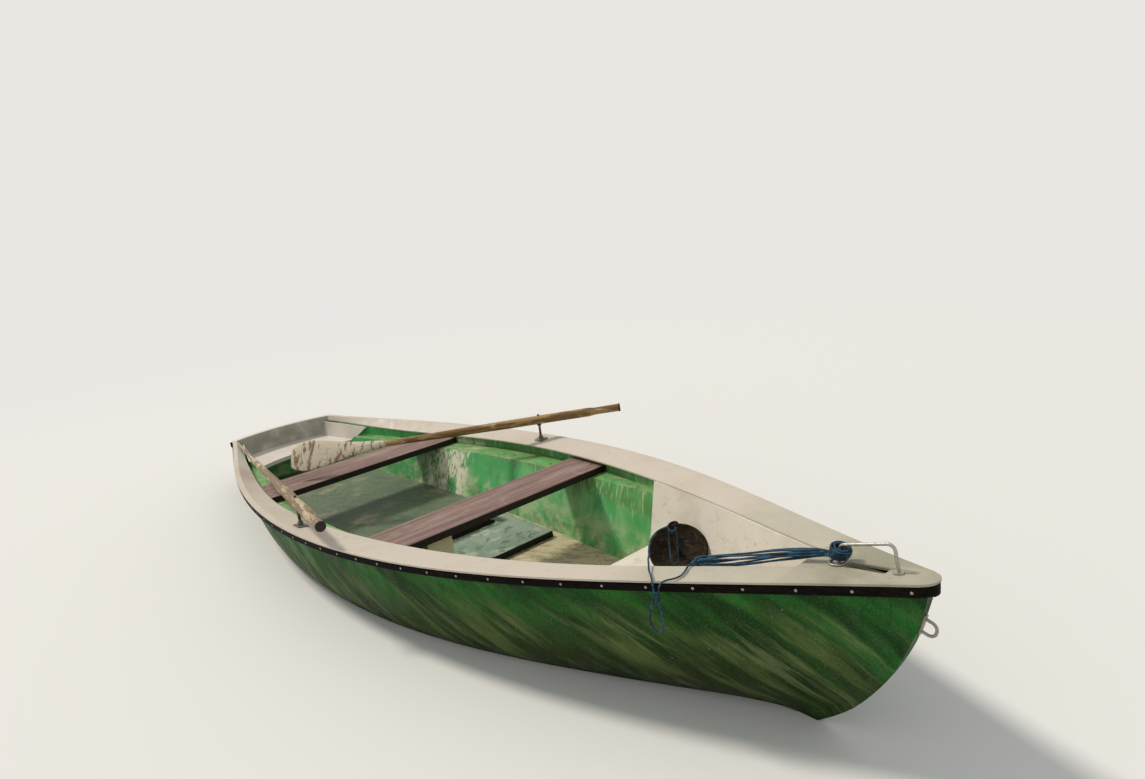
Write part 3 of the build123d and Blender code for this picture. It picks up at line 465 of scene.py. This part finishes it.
def painted_ply():
    """Painted plywood panel, worn to the primer and darker round its slot, with painted shade on its side
    faces: flat, with lifted flakes.
    """
    material, tree, shader, place = surface("worn painted plywood", 0.68, gloss=0.25)
    tone = stain(tree, srgb("#8d9b87"), "#79917c", patches(
        tree, place, (160, 110, 90), 0.42, 0.60, share=0.8, seed=1,
    ))
    worn = patches(tree, place, (110, 150, 90), 0.52, 0.64, share=0.7, seed=2, detail=6)
    tone = stain(tree, tone, "#b4b8a4", worn)
    flakes = patches(tree, place, (26, 40, 26), 0.58, 0.63, share=1.0, seed=3)
    tone = stain(tree, tone, "#647361", flakes)
    # Darker green round the slot.
    slot_side = zone(tree, place, {0: (1.86, 1.965), 1: (-0.06, 0.29)}, 0.02)
    tone = stain(tree, tone, "#2c3a22", patches(
        tree, place, (34, 44, 34), 0.36, 0.50, share=0.95, mask=slot_side, seed=5,
    ))
    tone = stain(tree, tone, "#4c4a38", patches(tree, place, (9, 9, 9), 0.64, 0.69, share=0.8, seed=6))
    # Painted shade: every side face of the panel is darkened nearly black.
    shaded_sides = zone(tree, place, {}, facing="side")
    tone = stain(tree, tone, "#1d1a13", shaded_sides)
    tree.links.new(tone, shader.inputs["Base Color"])
    flaking = relief(tree, shader, flakes, -0.4)
    relief(tree, shader, patches(tree, place, (5, 8, 5), 0.3, 0.7), 0.25, flaking)
    return material


def weathered_plank():
    """Larch plank with its stain washed out: grey-pink grain along the plank, with painted shade on its
    side faces.
    """
    material, tree, shader, place = surface("weathered larch plank", 0.72, gloss=0.25)
    tone = stain(tree, srgb("#8d736a"), "#705850", patches(
        tree, place, (22, 520, 20), 0.42, 0.62, share=0.8, seed=1,
    ))
    tone = stain(tree, tone, "#a89086", patches(
        tree, place, (60, 340, 60), 0.48, 0.66, share=0.5, seed=2,
    ))
    tone = stain(tree, tone, "#5b463e", patches(
        tree, place, (3.2, 300, 3.2), 0.56, 0.66, share=0.8, seed=3,
    ))
    tone = stain(tree, tone, "#9c9a86", patches(
        tree, place, (90, 120, 90), 0.56, 0.72, share=0.5, seed=4,
    ))
    tone = stain(tree, tone, "#33291f", patches(
        tree, place, (16, 30, 16), 0.67, 0.73, share=0.75, seed=5,
    ))
    tone = stain(tree, tone, "#2b2019", patches(
        tree, place, (1.4, 120, 1.4), 0.66, 0.70, share=0.8, seed=6, detail=2,
    ))
    # Painted shade: every side face of the plank is darkened nearly black.
    shaded_sides = zone(tree, place, {}, facing="side")
    tone = stain(tree, tone, "#1f1812", shaded_sides)
    tree.links.new(tone, shader.inputs["Base Color"])
    grain = relief(tree, shader, patches(tree, place, (4, 260, 4), 0.40, 0.66, seed=2), 0.35)
    relief(tree, shader, patches(tree, place, (3.2, 300, 3.2), 0.56, 0.66, seed=3), -0.5, grain)
    return material


def rubbing_strip():
    """Dark hardwood strip gone nearly black: dull, with lighter rubbed spots and fine grain along it."""
    material, tree, shader, place = surface("blackened hardwood strip", 0.62, gloss=0.05)
    tone = stain(tree, srgb("#0d0a08"), "#1a140e", patches(
        tree, place, (160, 12, 8), 0.45, 0.65, share=0.8, seed=1,
    ))
    tone = stain(tree, tone, "#43372b", patches(
        tree, place, (60, 10, 4), 0.64, 0.72, share=0.6, seed=2,
    ))
    tone = stain(tree, tone, "#070504", patches(
        tree, place, (40, 40, 40), 0.55, 0.7, share=0.6, seed=3,
    ))
    tree.links.new(tone, shader.inputs["Base Color"])
    relief(tree, shader, patches(tree, place, (80, 6, 3), 0.4, 0.66, seed=2), 0.3)
    return material


def peeling_varnish(name, base, pale, heading, worn, banded=False):
    """Spruce under old varnish: the film came off in long ragged flakes, or in bands across a blade."""
    material, tree, shader, place = surface(name, 0.6, gloss=0.2)
    along = (0, 0, heading)
    tone = stain(tree, srgb(base), "#7d6548", patches(
        tree, place, (260, 7, 7), 0.42, 0.66, share=0.6, seed=1, lean=along,
    ))
    grain = (24, 130, 60) if banded else (180, 34, 34)
    flakes = patches(tree, place, grain, worn, worn + 0.07, share=0.85, seed=2, detail=5, lean=along)
    tone = stain(tree, tone, pale, flakes)
    tone = stain(tree, tone, "#ddd0b4", patches(
        tree, place, (60, 14, 14), 0.56, 0.68, share=0.6, mask=flakes, seed=3, lean=along,
    ))
    tone = stain(tree, tone, "#4a3a29", patches(
        tree, place, (70, 6, 6), 0.60, 0.68, share=0.7, seed=4, lean=along,
    ))
    tone = stain(tree, tone, "#2f261c", patches(
        tree, place, (14, 30, 30), 0.68, 0.72, share=0.7, seed=5, lean=along,
    ))
    tree.links.new(tone, shader.inputs["Base Color"])
    film = relief(tree, shader, flakes, 0.4)
    relief(tree, shader, patches(
        tree, place, (160, 3, 3), 0.4, 0.66, share=1.0, seed=6, lean=along,
    ), 0.25, film)
    return material


def cast_iron():
    """Cast iron left to rust: dark scale with brown blooms, dried slime and a pitted skin."""
    material, tree, shader, place = surface("rusty cast iron", 0.85, metallic=0.1, gloss=0.2)
    tone = stain(tree, srgb("#1b1710"), "#32281a", patches(
        tree, place, (40, 40, 40), 0.42, 0.6, share=0.9, seed=1,
    ))
    tone = stain(tree, tone, "#544228", patches(
        tree, place, (20, 20, 20), 0.54, 0.68, share=0.6, seed=2,
    ))
    tone = stain(tree, tone, "#7b744f", patches(
        tree, place, (12, 12, 12), 0.60, 0.70, share=0.6, seed=3,
    ))
    tone = stain(tree, tone, "#0f0c08", patches(
        tree, place, (26, 26, 26), 0.55, 0.68, share=0.85, seed=4,
    ))
    tree.links.new(tone, shader.inputs["Base Color"])
    pits = relief(tree, shader, patches(tree, place, (12, 12, 12), 0.4, 0.7, seed=5), 1.2)
    relief(tree, shader, patches(tree, place, (3, 3, 3), 0.4, 0.7, seed=6), 0.4, pits)
    return material


def zinc_plated(name, base, roughness=0.45, rust=0.5):
    """Zinc-plated steel with its bright film gone: grey, half dull, with rust at the pores."""
    material, tree, shader, place = surface(name, roughness, metallic=0.75)
    tone = stain(tree, srgb(base), "#8b877b", patches(
        tree, place, (14, 14, 14), 0.4, 0.66, share=0.7, seed=1,
    ))
    tone = stain(tree, tone, "#6a4a30", patches(tree, place, (7, 7, 7), 0.58, 0.68, share=rust, seed=2))
    tone = stain(tree, tone, "#33291f", patches(tree, place, (3, 3, 3), 0.62, 0.70, share=rust, seed=3))
    tree.links.new(tone, shader.inputs["Base Color"])
    relief(tree, shader, patches(tree, place, (2, 2, 2), 0.4, 0.7, seed=4), 0.08)
    return material


def polypropylene_fibre(colour):
    """Blue polypropylene split film, laid: satin fibres with painted highlights, paler where they are
    frayed.
    """
    material, tree, shader, place = surface("blue polypropylene rope", 0.5, gloss=0.35)
    # Painted highlight: small pale cyan flecks stand for light glinting on the fibres.
    tone = stain(tree, tuple(colour), "#4f9cbc", patches(
        tree, place, (5, 5, 5), 0.50, 0.66, share=0.7, seed=1,
    ))
    tone = stain(tree, tone, "#0d2231", patches(
        tree, place, (40, 40, 40), 0.42, 0.58, share=0.85, seed=2,
    ))
    tone = stain(tree, tone, "#9cc0cb", patches(
        tree, place, (1.6, 1.6, 1.6), 0.64, 0.70, share=0.6, seed=3,
    ))
    tree.links.new(tone, shader.inputs["Base Color"])
    relief(tree, shader, patches(tree, place, (1.2, 1.2, 1.2), 0.4, 0.7, seed=4), 0.25)
    return material


def plain(name, base, tone_over, grain, roughness):
    """A small moulded or turned part: one tone with a weathered second one over it."""
    material, tree, shader, place = surface(name, roughness)
    tone = stain(tree, srgb(base), tone_over, patches(
        tree, place, (grain, grain, grain), 0.46, 0.66, share=0.75,
    ))
    tree.links.new(tone, shader.inputs["Base Color"])
    relief(tree, shader, patches(tree, place, (grain / 4,) * 3, 0.4, 0.7, seed=2), 0.15)
    return material


class BOAT_OT_mouldings(bpy.types.Operator):
    """Finishes the hull, the flanges, the deck, the stern and the cockpit mouldings"""

    bl_idname = "boat.mouldings"
    bl_label = "Finish mouldings"

    def execute(self, context):
        colours = context.scene.boat_hull
        dress(polyester_topsides(colours.topsides), "hull_shell")
        flange = polyester_cream(
            "cream polyester flange", colours.flange, tint="#b3ae99", where={0: (3.45, None)},
        )
        dress(flange, "gunwale_starboard", "gunwale_port")
        deck = polyester_cream(
            "cream polyester deck", srgb("#bcb4a1"), dirt=1.6, seed=3, tint="#8f8c75",
            where={0: (3.88, None)},
        )
        dress(deck, "foredeck")
        # The grey-green tint on the forward-facing inner transom wall is painted shade, partly algae.
        stern = polyester_cream(
            "cream polyester stern", srgb("#d6ccc1"), dirt=0.6, seed=5, tint="#7b7e6e",
            where={0: (None, 0.0), 2: (0.1, 0.29)}, facing="side",
        )
        dress(stern, "stern_moulding")
        well = polyester_cream(
            "pale polyester well", colours.well, dirt=1.5, seed=9, tint="#b6ac8b",
            where={0: (3.3, None), 2: (None, 0.30)}, facing="up",
        )
        dress(well, "bow_well")
        dress(polyester_cream("cream polyester box", srgb("#cbc1a2"), dirt=1.2, seed=13), "thwart_box")
        dress(polyester_cockpit(colours.wall), "cockpit_liner")
        return {"FINISHED"}


class BOAT_OT_timber(bpy.types.Operator):
    """Finishes the planks, the floor panel, the rub rail and the oars"""

    bl_idname = "boat.timber"
    bl_label = "Finish timber"

    def execute(self, context):
        dress(weathered_plank(), "thwart_aft", "thwart_mid")
        dress(painted_ply(), "floor_panel")
        dress(rubbing_strip(), "rub_rail_starboard", "rub_rail_port", "rub_rail_bow", "rub_rail_stern")
        near_loom = peeling_varnish(
            "peeling varnish near", "#85735a", "#bfae8a", NEAR_OAR_HEADING, worn=0.50,
        )
        dress(near_loom, "oar_loom_starboard")
        far_loom = peeling_varnish(
            "peeling varnish far", "#7f5f38", "#b08f60", FAR_OAR_HEADING, worn=0.50,
        )
        dress(far_loom, "oar_loom_port")
        near_blade = peeling_varnish(
            "bleached blade near", "#a08c6d", "#cdbd9c", NEAR_OAR_HEADING, worn=0.45, banded=True,
        )
        dress(near_blade, "oar_blade_starboard")
        far_blade = peeling_varnish(
            "bleached blade far", "#8c745a", "#d8cbb2", FAR_OAR_HEADING, worn=0.42, banded=True,
        )
        dress(far_blade, "oar_blade_port")
        rubber = plain("black rubber cap", "#1b1815", "#3a342b", grain=8, roughness=0.7)
        dress(rubber, "oar_cap_starboard", "oar_cap_port")
        return {"FINISHED"}


class BOAT_OT_metal(bpy.types.Operator):
    """Finishes the handle, the eye, the ring, the rowlocks and the anchor"""

    bl_idname = "boat.metal"
    bl_label = "Finish metal"

    def execute(self, context):
        dress(zinc_plated("galvanised handle tube", "#b8b5aa", roughness=0.4, rust=0.25), "bow_handle")
        dress(zinc_plated("plated steel fittings", "#9b978c"), "mooring_ring", "bow_eye")
        plate = zinc_plated("dull rowlock steel", "#6d675a", roughness=0.55, rust=0.8)
        dress(plate, "rowlock_plate_starboard", "rowlock_plate_port")
        pin = zinc_plated("dark rowlock pin", "#3b352c", roughness=0.5, rust=0.9)
        dress(pin, "rowlock_pin_starboard", "rowlock_pin_port")
        dress(cast_iron(), "anchor_bowl", "anchor_shank")
        return {"FINISHED"}


def routed(name, points):
    """The smooth line of a rope along its points, as points read from its NURBS spline."""
    curve = bpy.data.curves.new(name + "_route", "CURVE")
    curve.dimensions = "3D"
    curve.resolution_u = 16
    spline = curve.splines.new("NURBS")
    spline.points.add(len(points) - 1)
    for knot, point in zip(spline.points, points):
        knot.co = (*point, 1.0)
    spline.order_u = 3
    spline.use_endpoint_u = True
    guide = bpy.data.objects.new(name + "_route", curve)
    bpy.context.scene.collection.objects.link(guide)
    bpy.context.view_layer.update()
    mesh = bpy.data.meshes.new_from_object(guide.evaluated_get(bpy.context.evaluated_depsgraph_get()))
    line = [vertex.co.copy() for vertex in mesh.vertices]
    bpy.data.objects.remove(guide)
    bpy.data.curves.remove(curve)
    bpy.data.meshes.remove(mesh)
    return line


def evenly(line, step):
    """The same line with a point at every step."""
    spaced = [line[0]]
    left = step
    for start, end in zip(line, line[1:]):
        run = (end - start).length
        while run >= left:
            start = start.lerp(end, left / run)
            run = (end - start).length
            spaced.append(start)
            left = step
        left -= run
    spaced.append(line[-1])
    return spaced


def skinned(mesh, rings):
    """Joins rings of equally many points into a closed tube."""
    around = len(rings[0])
    for first, second in zip(rings, rings[1:]):
        for i in range(around):
            j = (i + 1) % around
            mesh.faces.new((first[i], first[j], second[j], second[i]))
    mesh.faces.new(list(reversed(rings[0])))
    mesh.faces.new(rings[-1])


def laid_rope(name, line, settings):
    """A three-strand rope along a line: three round strands that touch, turned once in each lay."""
    radius = settings.diameter / 2
    strand = radius / (1 + 2 / math.sqrt(3))
    offset = radius - strand
    section = []
    for i in range(ROPE_CORNERS):
        angle = 2 * math.pi * i / ROPE_CORNERS
        nearest = (angle + math.pi / 3) % (2 * math.pi / 3) - math.pi / 3
        reach = offset * math.cos(nearest) + math.sqrt(strand ** 2 - (offset * math.sin(nearest)) ** 2)
        section.append((angle, reach))
    step = settings.lay / RINGS_PER_LAY
    spaced = evenly(line, step)
    tangents = [(b - a).normalized() for a, b in zip(spaced, spaced[1:])]
    tangents.append(tangents[-1])
    side = tangents[0].orthogonal().normalized()
    mesh = bmesh.new()
    rings = []
    for i, (point, along) in enumerate(zip(spaced, tangents)):
        side = (side - along * side.dot(along)).normalized()
        up = along.cross(side)
        twist = 2 * math.pi * i * step / settings.lay
        rings.append([
            mesh.verts.new(point + (side * math.cos(a + twist) + up * math.sin(a + twist)) * r)
            for a, r in section
        ])
    skinned(mesh, rings)
    return placed(name, mesh)


def placed(name, mesh, smooth=True):
    """Makes an object of a bmesh and links it."""
    bmesh.ops.recalc_face_normals(mesh, faces=mesh.faces)
    data = bpy.data.meshes.new(name)
    mesh.to_mesh(data)
    mesh.free()
    data.polygons.foreach_set("use_smooth", [smooth] * len(data.polygons))
    thing = bpy.data.objects.new(name, data)
    bpy.context.scene.collection.objects.link(thing)
    return thing


def own(thing, material, body="hull"):
    """Gives a new piece its finish and the body it rides on."""
    thing.data.materials.append(material)
    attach(thing, body)
    return thing


def whipped(name, start, end, radius, turns, thread):
    """A whipping: a thread wound tightly round a rope from start to end, as ridges on one sleeve."""
    axis = end - start
    along = axis.normalized()
    side = along.orthogonal().normalized()
    up = along.cross(side)
    around, per_turn = 16, 6
    mesh = bmesh.new()
    rings = []
    for i in range(turns * per_turn + 1):
        share = i / (turns * per_turn)
        ridge = radius + thread * 0.5 * (1 + math.sin(2 * math.pi * i / per_turn))
        rings.append([
            mesh.verts.new(start + axis * share + (side * math.cos(a) + up * math.sin(a)) * ridge)
            for a in (2 * math.pi * j / around for j in range(around))
        ])
    skinned(mesh, rings)
    return placed(name, mesh)


def bunch_points(runs, seed):
    """Points of the rope back and forth through the bunch, drawn tight towards the handle."""
    draw = random.Random(seed)
    middle = [Vector(p) for p in BUNCH_POINTS]
    last = len(middle) - 1
    points = []
    for run in range(runs):
        angle = math.radians(RUN_ANGLES[run - 1])
        loose = LOOSE_REACH + draw.uniform(-0.4, 0.4) * MM
        swell = draw.uniform(-4.0, 3.5) * MM
        cuts = []
        for i, spot in enumerate(middle):
            along = (middle[min(last, i + 1)] - middle[max(0, i - 1)]).normalized()
            across = Vector((0, 0, 1)).cross(along).normalized()
            lift = along.cross(across)
            tight = i / last
            reach = loose + (NECK_REACH - loose) * tight ** 2 + swell * math.sin(math.pi * tight)
            turn = angle + BUNCH_TWIST * tight
            off = across * math.cos(turn) + lift * math.sin(turn)
            cuts.append(spot + off * (reach if run else 0.0))
        if run % 2 == 0:
            points.extend(cuts)
            if run < runs - 1:
                points.extend(leg_turn(middle[-1] - middle[-2], LEG_TURN_HEIGHTS[run // 2]))
        else:
            points.extend(reversed(cuts))
            points.extend(bight(cuts[0], middle, loose, (27 - 6 * (run // 2)) * MM))
    return points


def leg_turn(heading, height):
    """Control points of half a turn round the handle's leg, from its left side to its right."""
    ahead = Vector((heading.x, heading.y, 0)).normalized()
    left = Vector((0, 0, 1)).cross(ahead)
    centre = Vector((*LEG_CENTRE, height))
    lead_in = ahead * 12 * MM
    reach = TURN_RADIUS / math.cos(math.radians(22.5))
    points = [centre - lead_in - left * TURN_RADIUS]
    for degrees in (-67.5, -22.5, 22.5, 67.5):
        swing = math.radians(degrees)
        points.append(centre + (ahead * math.cos(swing) + left * math.sin(swing)) * reach)
    points.append(centre - lead_in + left * TURN_RADIUS)
    return points


def bight(start, middle, loose, spare):
    """Control points of a fold at the bunch's loose end, spare further out than its last point."""
    along = (middle[0] - middle[1]).normalized()
    across = (start - middle[0]).normalized()
    reach = loose / math.cos(math.radians(22.5))
    centre = middle[0] + along * spare
    points = []
    for degrees in (67.5, 22.5, -22.5, -67.5):
        swing = math.radians(degrees)
        points.append(centre + (across * math.sin(swing) + along * math.cos(swing)) * reach)
    return points


def knot_points():
    """Points of the turns round the handle's foot: an inner layer up, then an outer one down over it."""
    centre = Vector(KNOT_CENTRE)
    tilt = Matrix.Rotation(math.radians(12), 3, "Y")
    points = []
    angle = math.radians(-100)
    step = math.radians(30)
    for first_reach, last_reach, start, end, per_turn in KNOT_LAYERS:
        count = round((end - start) / per_turn * math.tau / step)
        for i in range(count + 1):
            latitude = math.radians(start + (end - start) * i / count)
            flat = Vector((math.cos(angle), math.sin(angle), 0)) * math.cos(latitude)
            reach = first_reach + (last_reach - first_reach) * min(1.0, i / 8)
            points.append(centre + tilt @ (flat + Vector((0, 0, math.sin(latitude)))) * reach * MM)
            angle += step
    return points


def hitch_points():
    """Points of two round turns on the anchor's shank and of the bight that hangs from them."""
    centre, axis, down = Vector(HITCH_CENTRE), Vector(SHANK_AXIS).normalized(), Vector((0, 0, -1))
    fall = (down - axis * down.dot(axis)).normalized()
    right = axis.cross(fall)
    points = []
    for i in range(25):
        angle = math.radians(30 * (i - 24))
        flat = right * math.cos(angle) + fall * math.sin(angle)
        points.append(centre + flat * HITCH_RADIUS + axis * (6.2 * MM * (24 - i) / 12 - 6 * MM))
    out = centre - axis * 6 * MM
    for forward, drop in ((14, 0), (20, 14), (22, 50), (22, 78)):
        points.append(out + right * HITCH_RADIUS + fall * forward * MM + down * drop * MM)
    reach = HITCH_RADIUS / math.cos(math.radians(22.5))
    for degrees in (22.5, 67.5, 112.5, 157.5):
        angle = math.radians(degrees)
        swing = right * math.cos(angle) + down * math.sin(angle)
        points.append(out + fall * 22 * MM + down * HITCH_DROP + swing * reach)
    for forward, drop in ((22, 76), (21, 45), (19, 18), (10, 4), (3, -2)):
        points.append(out - right * HITCH_RADIUS + fall * forward * MM + down * drop * MM)
    return points


class BOAT_OT_ropes(bpy.types.Operator):
    """Lays the anchor's lead with its eye, and the slack rope with its bunch and winding"""

    bl_idname = "boat.ropes"
    bl_label = "Lay ropes"

    def execute(self, context):
        settings = context.scene.boat_rope
        fibre = polypropylene_fibre(settings.colour)
        lead_line = routed("lead", LEAD_POINTS)
        lead = own(laid_rope("anchor_lead", lead_line, settings), fibre)
        low, high = (Vector(p) for p in SPLICE_ENDS)
        thread = whipped("eye_whipping", low, high, radius=6.2 * MM, turns=7, thread=1.2 * MM)
        splice = own(thread, fibre)
        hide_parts("rope_lead")
        bunch = bunch_points(settings.runs, seed=5)
        slack_line = routed("slack", TAIL_POINTS + bunch + knot_points())
        slack = own(laid_rope("mooring_rope", slack_line, settings), fibre)
        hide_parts("rope_tail", "rope_hank", "rope_ball")
        hitch_line = routed("hitch", hitch_points())
        hitch = own(laid_rope("anchor_hitch", hitch_line, settings), fibre)
        return {"FINISHED"}


def cut_points(name, place, normal):
    """Where a plane cuts the edges of a node's mesh."""
    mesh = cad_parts[name].data
    corners = [vertex.co for vertex in mesh.vertices]
    heights = [(corner - place).dot(normal) for corner in corners]
    found = []
    for shaded_sides in mesh.edges:
        a, b = shaded_sides.vertices
        if heights[a] * heights[b] < 0:
            found.append(corners[a].lerp(corners[b], heights[a] / (heights[a] - heights[b])))
    return found


def rail_point(name, side, x):
    """The middle of a rail's outer face at x."""
    ring = cut_points(name, Vector((x, 0, 0)), Vector((1, 0, 0)))
    ring = [p for p in ring if p.y * side > 0]
    outer = max(side * p.y for p in ring)
    return Vector((x, side * outer, (min(p.z for p in ring) + max(p.z for p in ring)) / 2))


def rail_spots(side_name, side, pitch):
    """Places on the rail's outer face and the way it looks there, one pitch apart from the bow."""
    cap_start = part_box("rub_rail_bow")[0].x
    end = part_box("rub_rail_" + side_name)[0].x + RAIL_END_GAP
    spots = []
    x = FIRST_SCREW
    while x > end:
        name = "rub_rail_bow" if x > cap_start else "rub_rail_" + side_name
        along = rail_point(name, side, x + 6 * MM) - rail_point(name, side, x - 6 * MM)
        outward = (along.cross(Vector((0, 0, 1))) * -side).normalized()
        spots.append((rail_point(name, side, x), outward))
        x -= pitch
    return spots


def screw_heads(name, spots, head, seed):
    """Slotted pan heads at spots, each turned its own way, in one piece."""
    draw = random.Random(seed)
    mesh = bmesh.new()
    around = 20
    for spot, outward in spots:
        turn = draw.uniform(0, math.pi)
        basis = Quaternion(outward, turn) @ Vector((0, 0, 1)).rotation_difference(outward)
        loops = []
        for share, rise in HEAD_PROFILE:
            loop = []
            for i in range(around if share else 1):
                angle = 2 * math.pi * i / around
                flat = Vector((math.cos(angle), math.sin(angle), 0)) * share
                sunk = SLOT_DEPTH if abs(flat.y) < SLOT_HALF and rise > 0.1 else 0.0
                corner = flat + Vector((0, 0, rise - sunk))
                loop.append(mesh.verts.new(spot + basis @ corner * head / 2))
            loops.append(loop)
        for i in range(around):
            j = (i + 1) % around
            mesh.faces.new((loops[0][0], loops[1][i], loops[1][j]))
            for inner, outer in zip(loops[1:], loops[2:]):
                mesh.faces.new((inner[i], outer[i], outer[j], inner[j]))
        mesh.faces.new(list(reversed(loops[-1])))
    return placed(name, mesh, smooth=False)


class BOAT_OT_fastenings(bpy.types.Operator):
    """Screws on the rub rail and the planks"""

    bl_idname = "boat.fastenings"
    bl_label = "Drive screws"

    def execute(self, context):
        settings = context.scene.boat_fastening
        plated = zinc_plated("pale screw heads", "#a9a495", 0.45, 0.4)
        for name, side, seed in (("starboard", -1, 3), ("port", 1, 4)):
            spots = rail_spots(name, side, settings.pitch)
            own(screw_heads("rail_screws_" + name, spots, settings.head, seed), plated)
        dull = zinc_plated("stained plank screws", "#4a443a", 0.6, 0.8)
        for name, seed in (("thwart_aft", 5), ("thwart_mid", 6)):
            low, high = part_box(name)
            spots = []
            for end in (-1, 1):
                for share in (0.25, 0.75):
                    x = low.x + (high.x - low.x) * share
                    y = (low.y + high.y) / 2 + end * ((high.y - low.y) / 2 - PLANK_END_GAP)
                    spots.append((Vector((x, y, high.z)), Vector((0, 0, 1))))
            own(screw_heads(name + "_screws", spots, settings.head, seed), dull)
        return {"FINISHED"}


def waterline():
    """The hull's outline at the water, a little inside its skin, by rays towards the middle."""
    hull = BVHTree.FromObject(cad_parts["hull_shell"], bpy.context.evaluated_depsgraph_get())
    rays = 240
    outline = []
    for i in range(rays):
        angle = math.tau * i / rays
        start = MIDDLE + Vector((3.0 * math.cos(angle), 1.4 * math.sin(angle), 0.0))
        inward = (MIDDLE - start).normalized()
        spot = hull.ray_cast(start, inward)[0]
        if spot is not None:
            outline.append(spot + inward * 1.5 * MM)
    return outline


def seen_ray(tree):
    """1 for rays from the camera, off gloss or through glass, 0 for those that light the boat."""
    path = add(tree, "ShaderNodeLightPath", {}).outputs
    glossy = add(tree, "ShaderNodeMath", {
        0: path["Is Camera Ray"], 1: path["Is Glossy Ray"],
    }, operation="MAXIMUM").outputs[0]
    return add(tree, "ShaderNodeMath", {
        0: glossy, 1: path["Is Transmission Ray"],
    }, operation="MAXIMUM").outputs[0]


class BOAT_OT_stage(bpy.types.Operator):
    """A pale floor at the waterline with the hull's outline cut out, soft light and the camera"""

    bl_idname = "boat.stage"
    bl_label = "Set the stage"

    def execute(self, context):
        outline = waterline()
        mesh = bmesh.new()
        rings = []
        for spread in FLOOR_SPREADS:
            rings.append([
                mesh.verts.new(point + (point - MIDDLE).normalized() * spread) for point in outline
            ])
        for inner, outer in zip(rings, rings[1:]):
            for i in range(len(outline)):
                j = (i + 1) % len(outline)
                mesh.faces.new((inner[i], inner[j], outer[j], outer[i]))
        floor = placed("stage_floor", mesh, smooth=False)
        matt = bpy.data.materials.new("pale studio floor")
        matt.use_nodes = True
        tree = matt.node_tree
        shader = tree.nodes["Principled BSDF"]
        shader.inputs["Base Color"].default_value = srgb("#e4e2dd")
        shader.inputs["Roughness"].default_value = 0.9
        seen = seen_ray(tree)
        reach = add(tree, "ShaderNodeVectorMath", {
            0: add(tree, "ShaderNodeTexCoord", {}).outputs["Object"], 1: tuple(MIDDLE),
        }, operation="DISTANCE").outputs["Value"]
        far = add(tree, "ShaderNodeMapRange", {
            "Value": reach, "From Min": FLOOR_FADE[0], "From Max": FLOOR_FADE[1],
        }, interpolation_type="SMOOTHSTEP").outputs[0]
        share = add(tree, "ShaderNodeMath", {0: far, 1: seen}, operation="MULTIPLY").outputs[0]
        glow = add(tree, "ShaderNodeEmission", {"Color": srgb(BACKDROP), "Strength": 1.0}).outputs[0]
        both = add(tree, "ShaderNodeMixShader", {0: share, 1: shader.outputs[0], 2: glow}).outputs[0]
        tree.links.new(both, tree.nodes["Material Output"].inputs["Surface"])
        floor.data.materials.append(matt)

        world = bpy.data.worlds.new("studio")
        context.scene.world = world
        world.use_nodes = True
        tree = world.node_tree
        sky = tree.nodes["Background"]
        sky.inputs["Color"].default_value = srgb("#eef1f4")
        sky.inputs["Strength"].default_value = 0.62
        wall = add(tree, "ShaderNodeBackground", {"Color": srgb(BACKDROP), "Strength": 1.0}).outputs[0]
        both = add(tree, "ShaderNodeMixShader", {
            0: seen_ray(tree), 1: sky.outputs[0], 2: wall,
        }).outputs[0]
        tree.links.new(both, tree.nodes["World Output"].inputs["Surface"])

        sun = bpy.data.lights.new("key_sun", "SUN")
        sun.energy = 2.2
        sun.angle = math.radians(9)
        sun.color = (1.0, 0.95, 0.87)
        key = bpy.data.objects.new("key_sun", sun)
        key.rotation_euler = SUNLIGHT.to_track_quat("-Z", "Y").to_euler()
        context.scene.collection.objects.link(key)

        lens = bpy.data.cameras.new("view")
        lens.lens = FOCAL_LENGTH
        lens.sensor_width = SENSOR_WIDTH
        camera = bpy.data.objects.new("view", lens)
        turned = Matrix((CAMERA_RIGHT, -CAMERA_DOWN, -CAMERA_FORWARD)).transposed().to_4x4()
        camera.matrix_world = Matrix.Translation(CAMERA_PLACE) @ turned
        context.scene.collection.objects.link(camera)
        context.scene.camera = camera
        context.scene.view_settings.view_transform = "Standard"
        return {"FINISHED"}


class BOAT_PT_panel(bpy.types.Panel):
    """Lists the boat's settings and steps"""

    bl_idname = "BOAT_PT_panel"
    bl_label = "Rowing Boat"
    bl_space_type = "VIEW_3D"
    bl_region_type = "UI"
    bl_category = "Rowing Boat"

    def draw(self, context):
        for group in (context.scene.boat_hull, context.scene.boat_rope, context.scene.boat_fastening):
            box = self.layout.box()
            for name in group.__annotations__:
                box.prop(group, name)
        for operator in OPERATORS:
            self.layout.operator(operator.bl_idname)


OPERATORS = (
    BOAT_OT_mouldings,
    BOAT_OT_timber,
    BOAT_OT_metal,
    BOAT_OT_ropes,
    BOAT_OT_fastenings,
    BOAT_OT_stage,
)
CLASSES = (HullFinish, RopeSettings, FasteningSettings, *OPERATORS, BOAT_PT_panel)


def register():
    """Registers the classes and hangs the settings on the scene."""
    for item in CLASSES:
        bpy.utils.register_class(item)
    bpy.types.Scene.boat_hull = PointerProperty(type=HullFinish)
    bpy.types.Scene.boat_rope = PointerProperty(type=RopeSettings)
    bpy.types.Scene.boat_fastening = PointerProperty(type=FasteningSettings)


def unregister():
    """Takes back what register did."""
    del bpy.types.Scene.boat_fastening
    del bpy.types.Scene.boat_rope
    del bpy.types.Scene.boat_hull
    for item in reversed(CLASSES):
        bpy.utils.unregister_class(item)


def main():
    """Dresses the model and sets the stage."""
    register()
    bpy.ops.boat.mouldings()
    bpy.ops.boat.timber()
    bpy.ops.boat.metal()
    bpy.ops.boat.ropes()
    bpy.ops.boat.fastenings()
    bpy.ops.boat.stage()


if __name__ == "__main__":
    main()
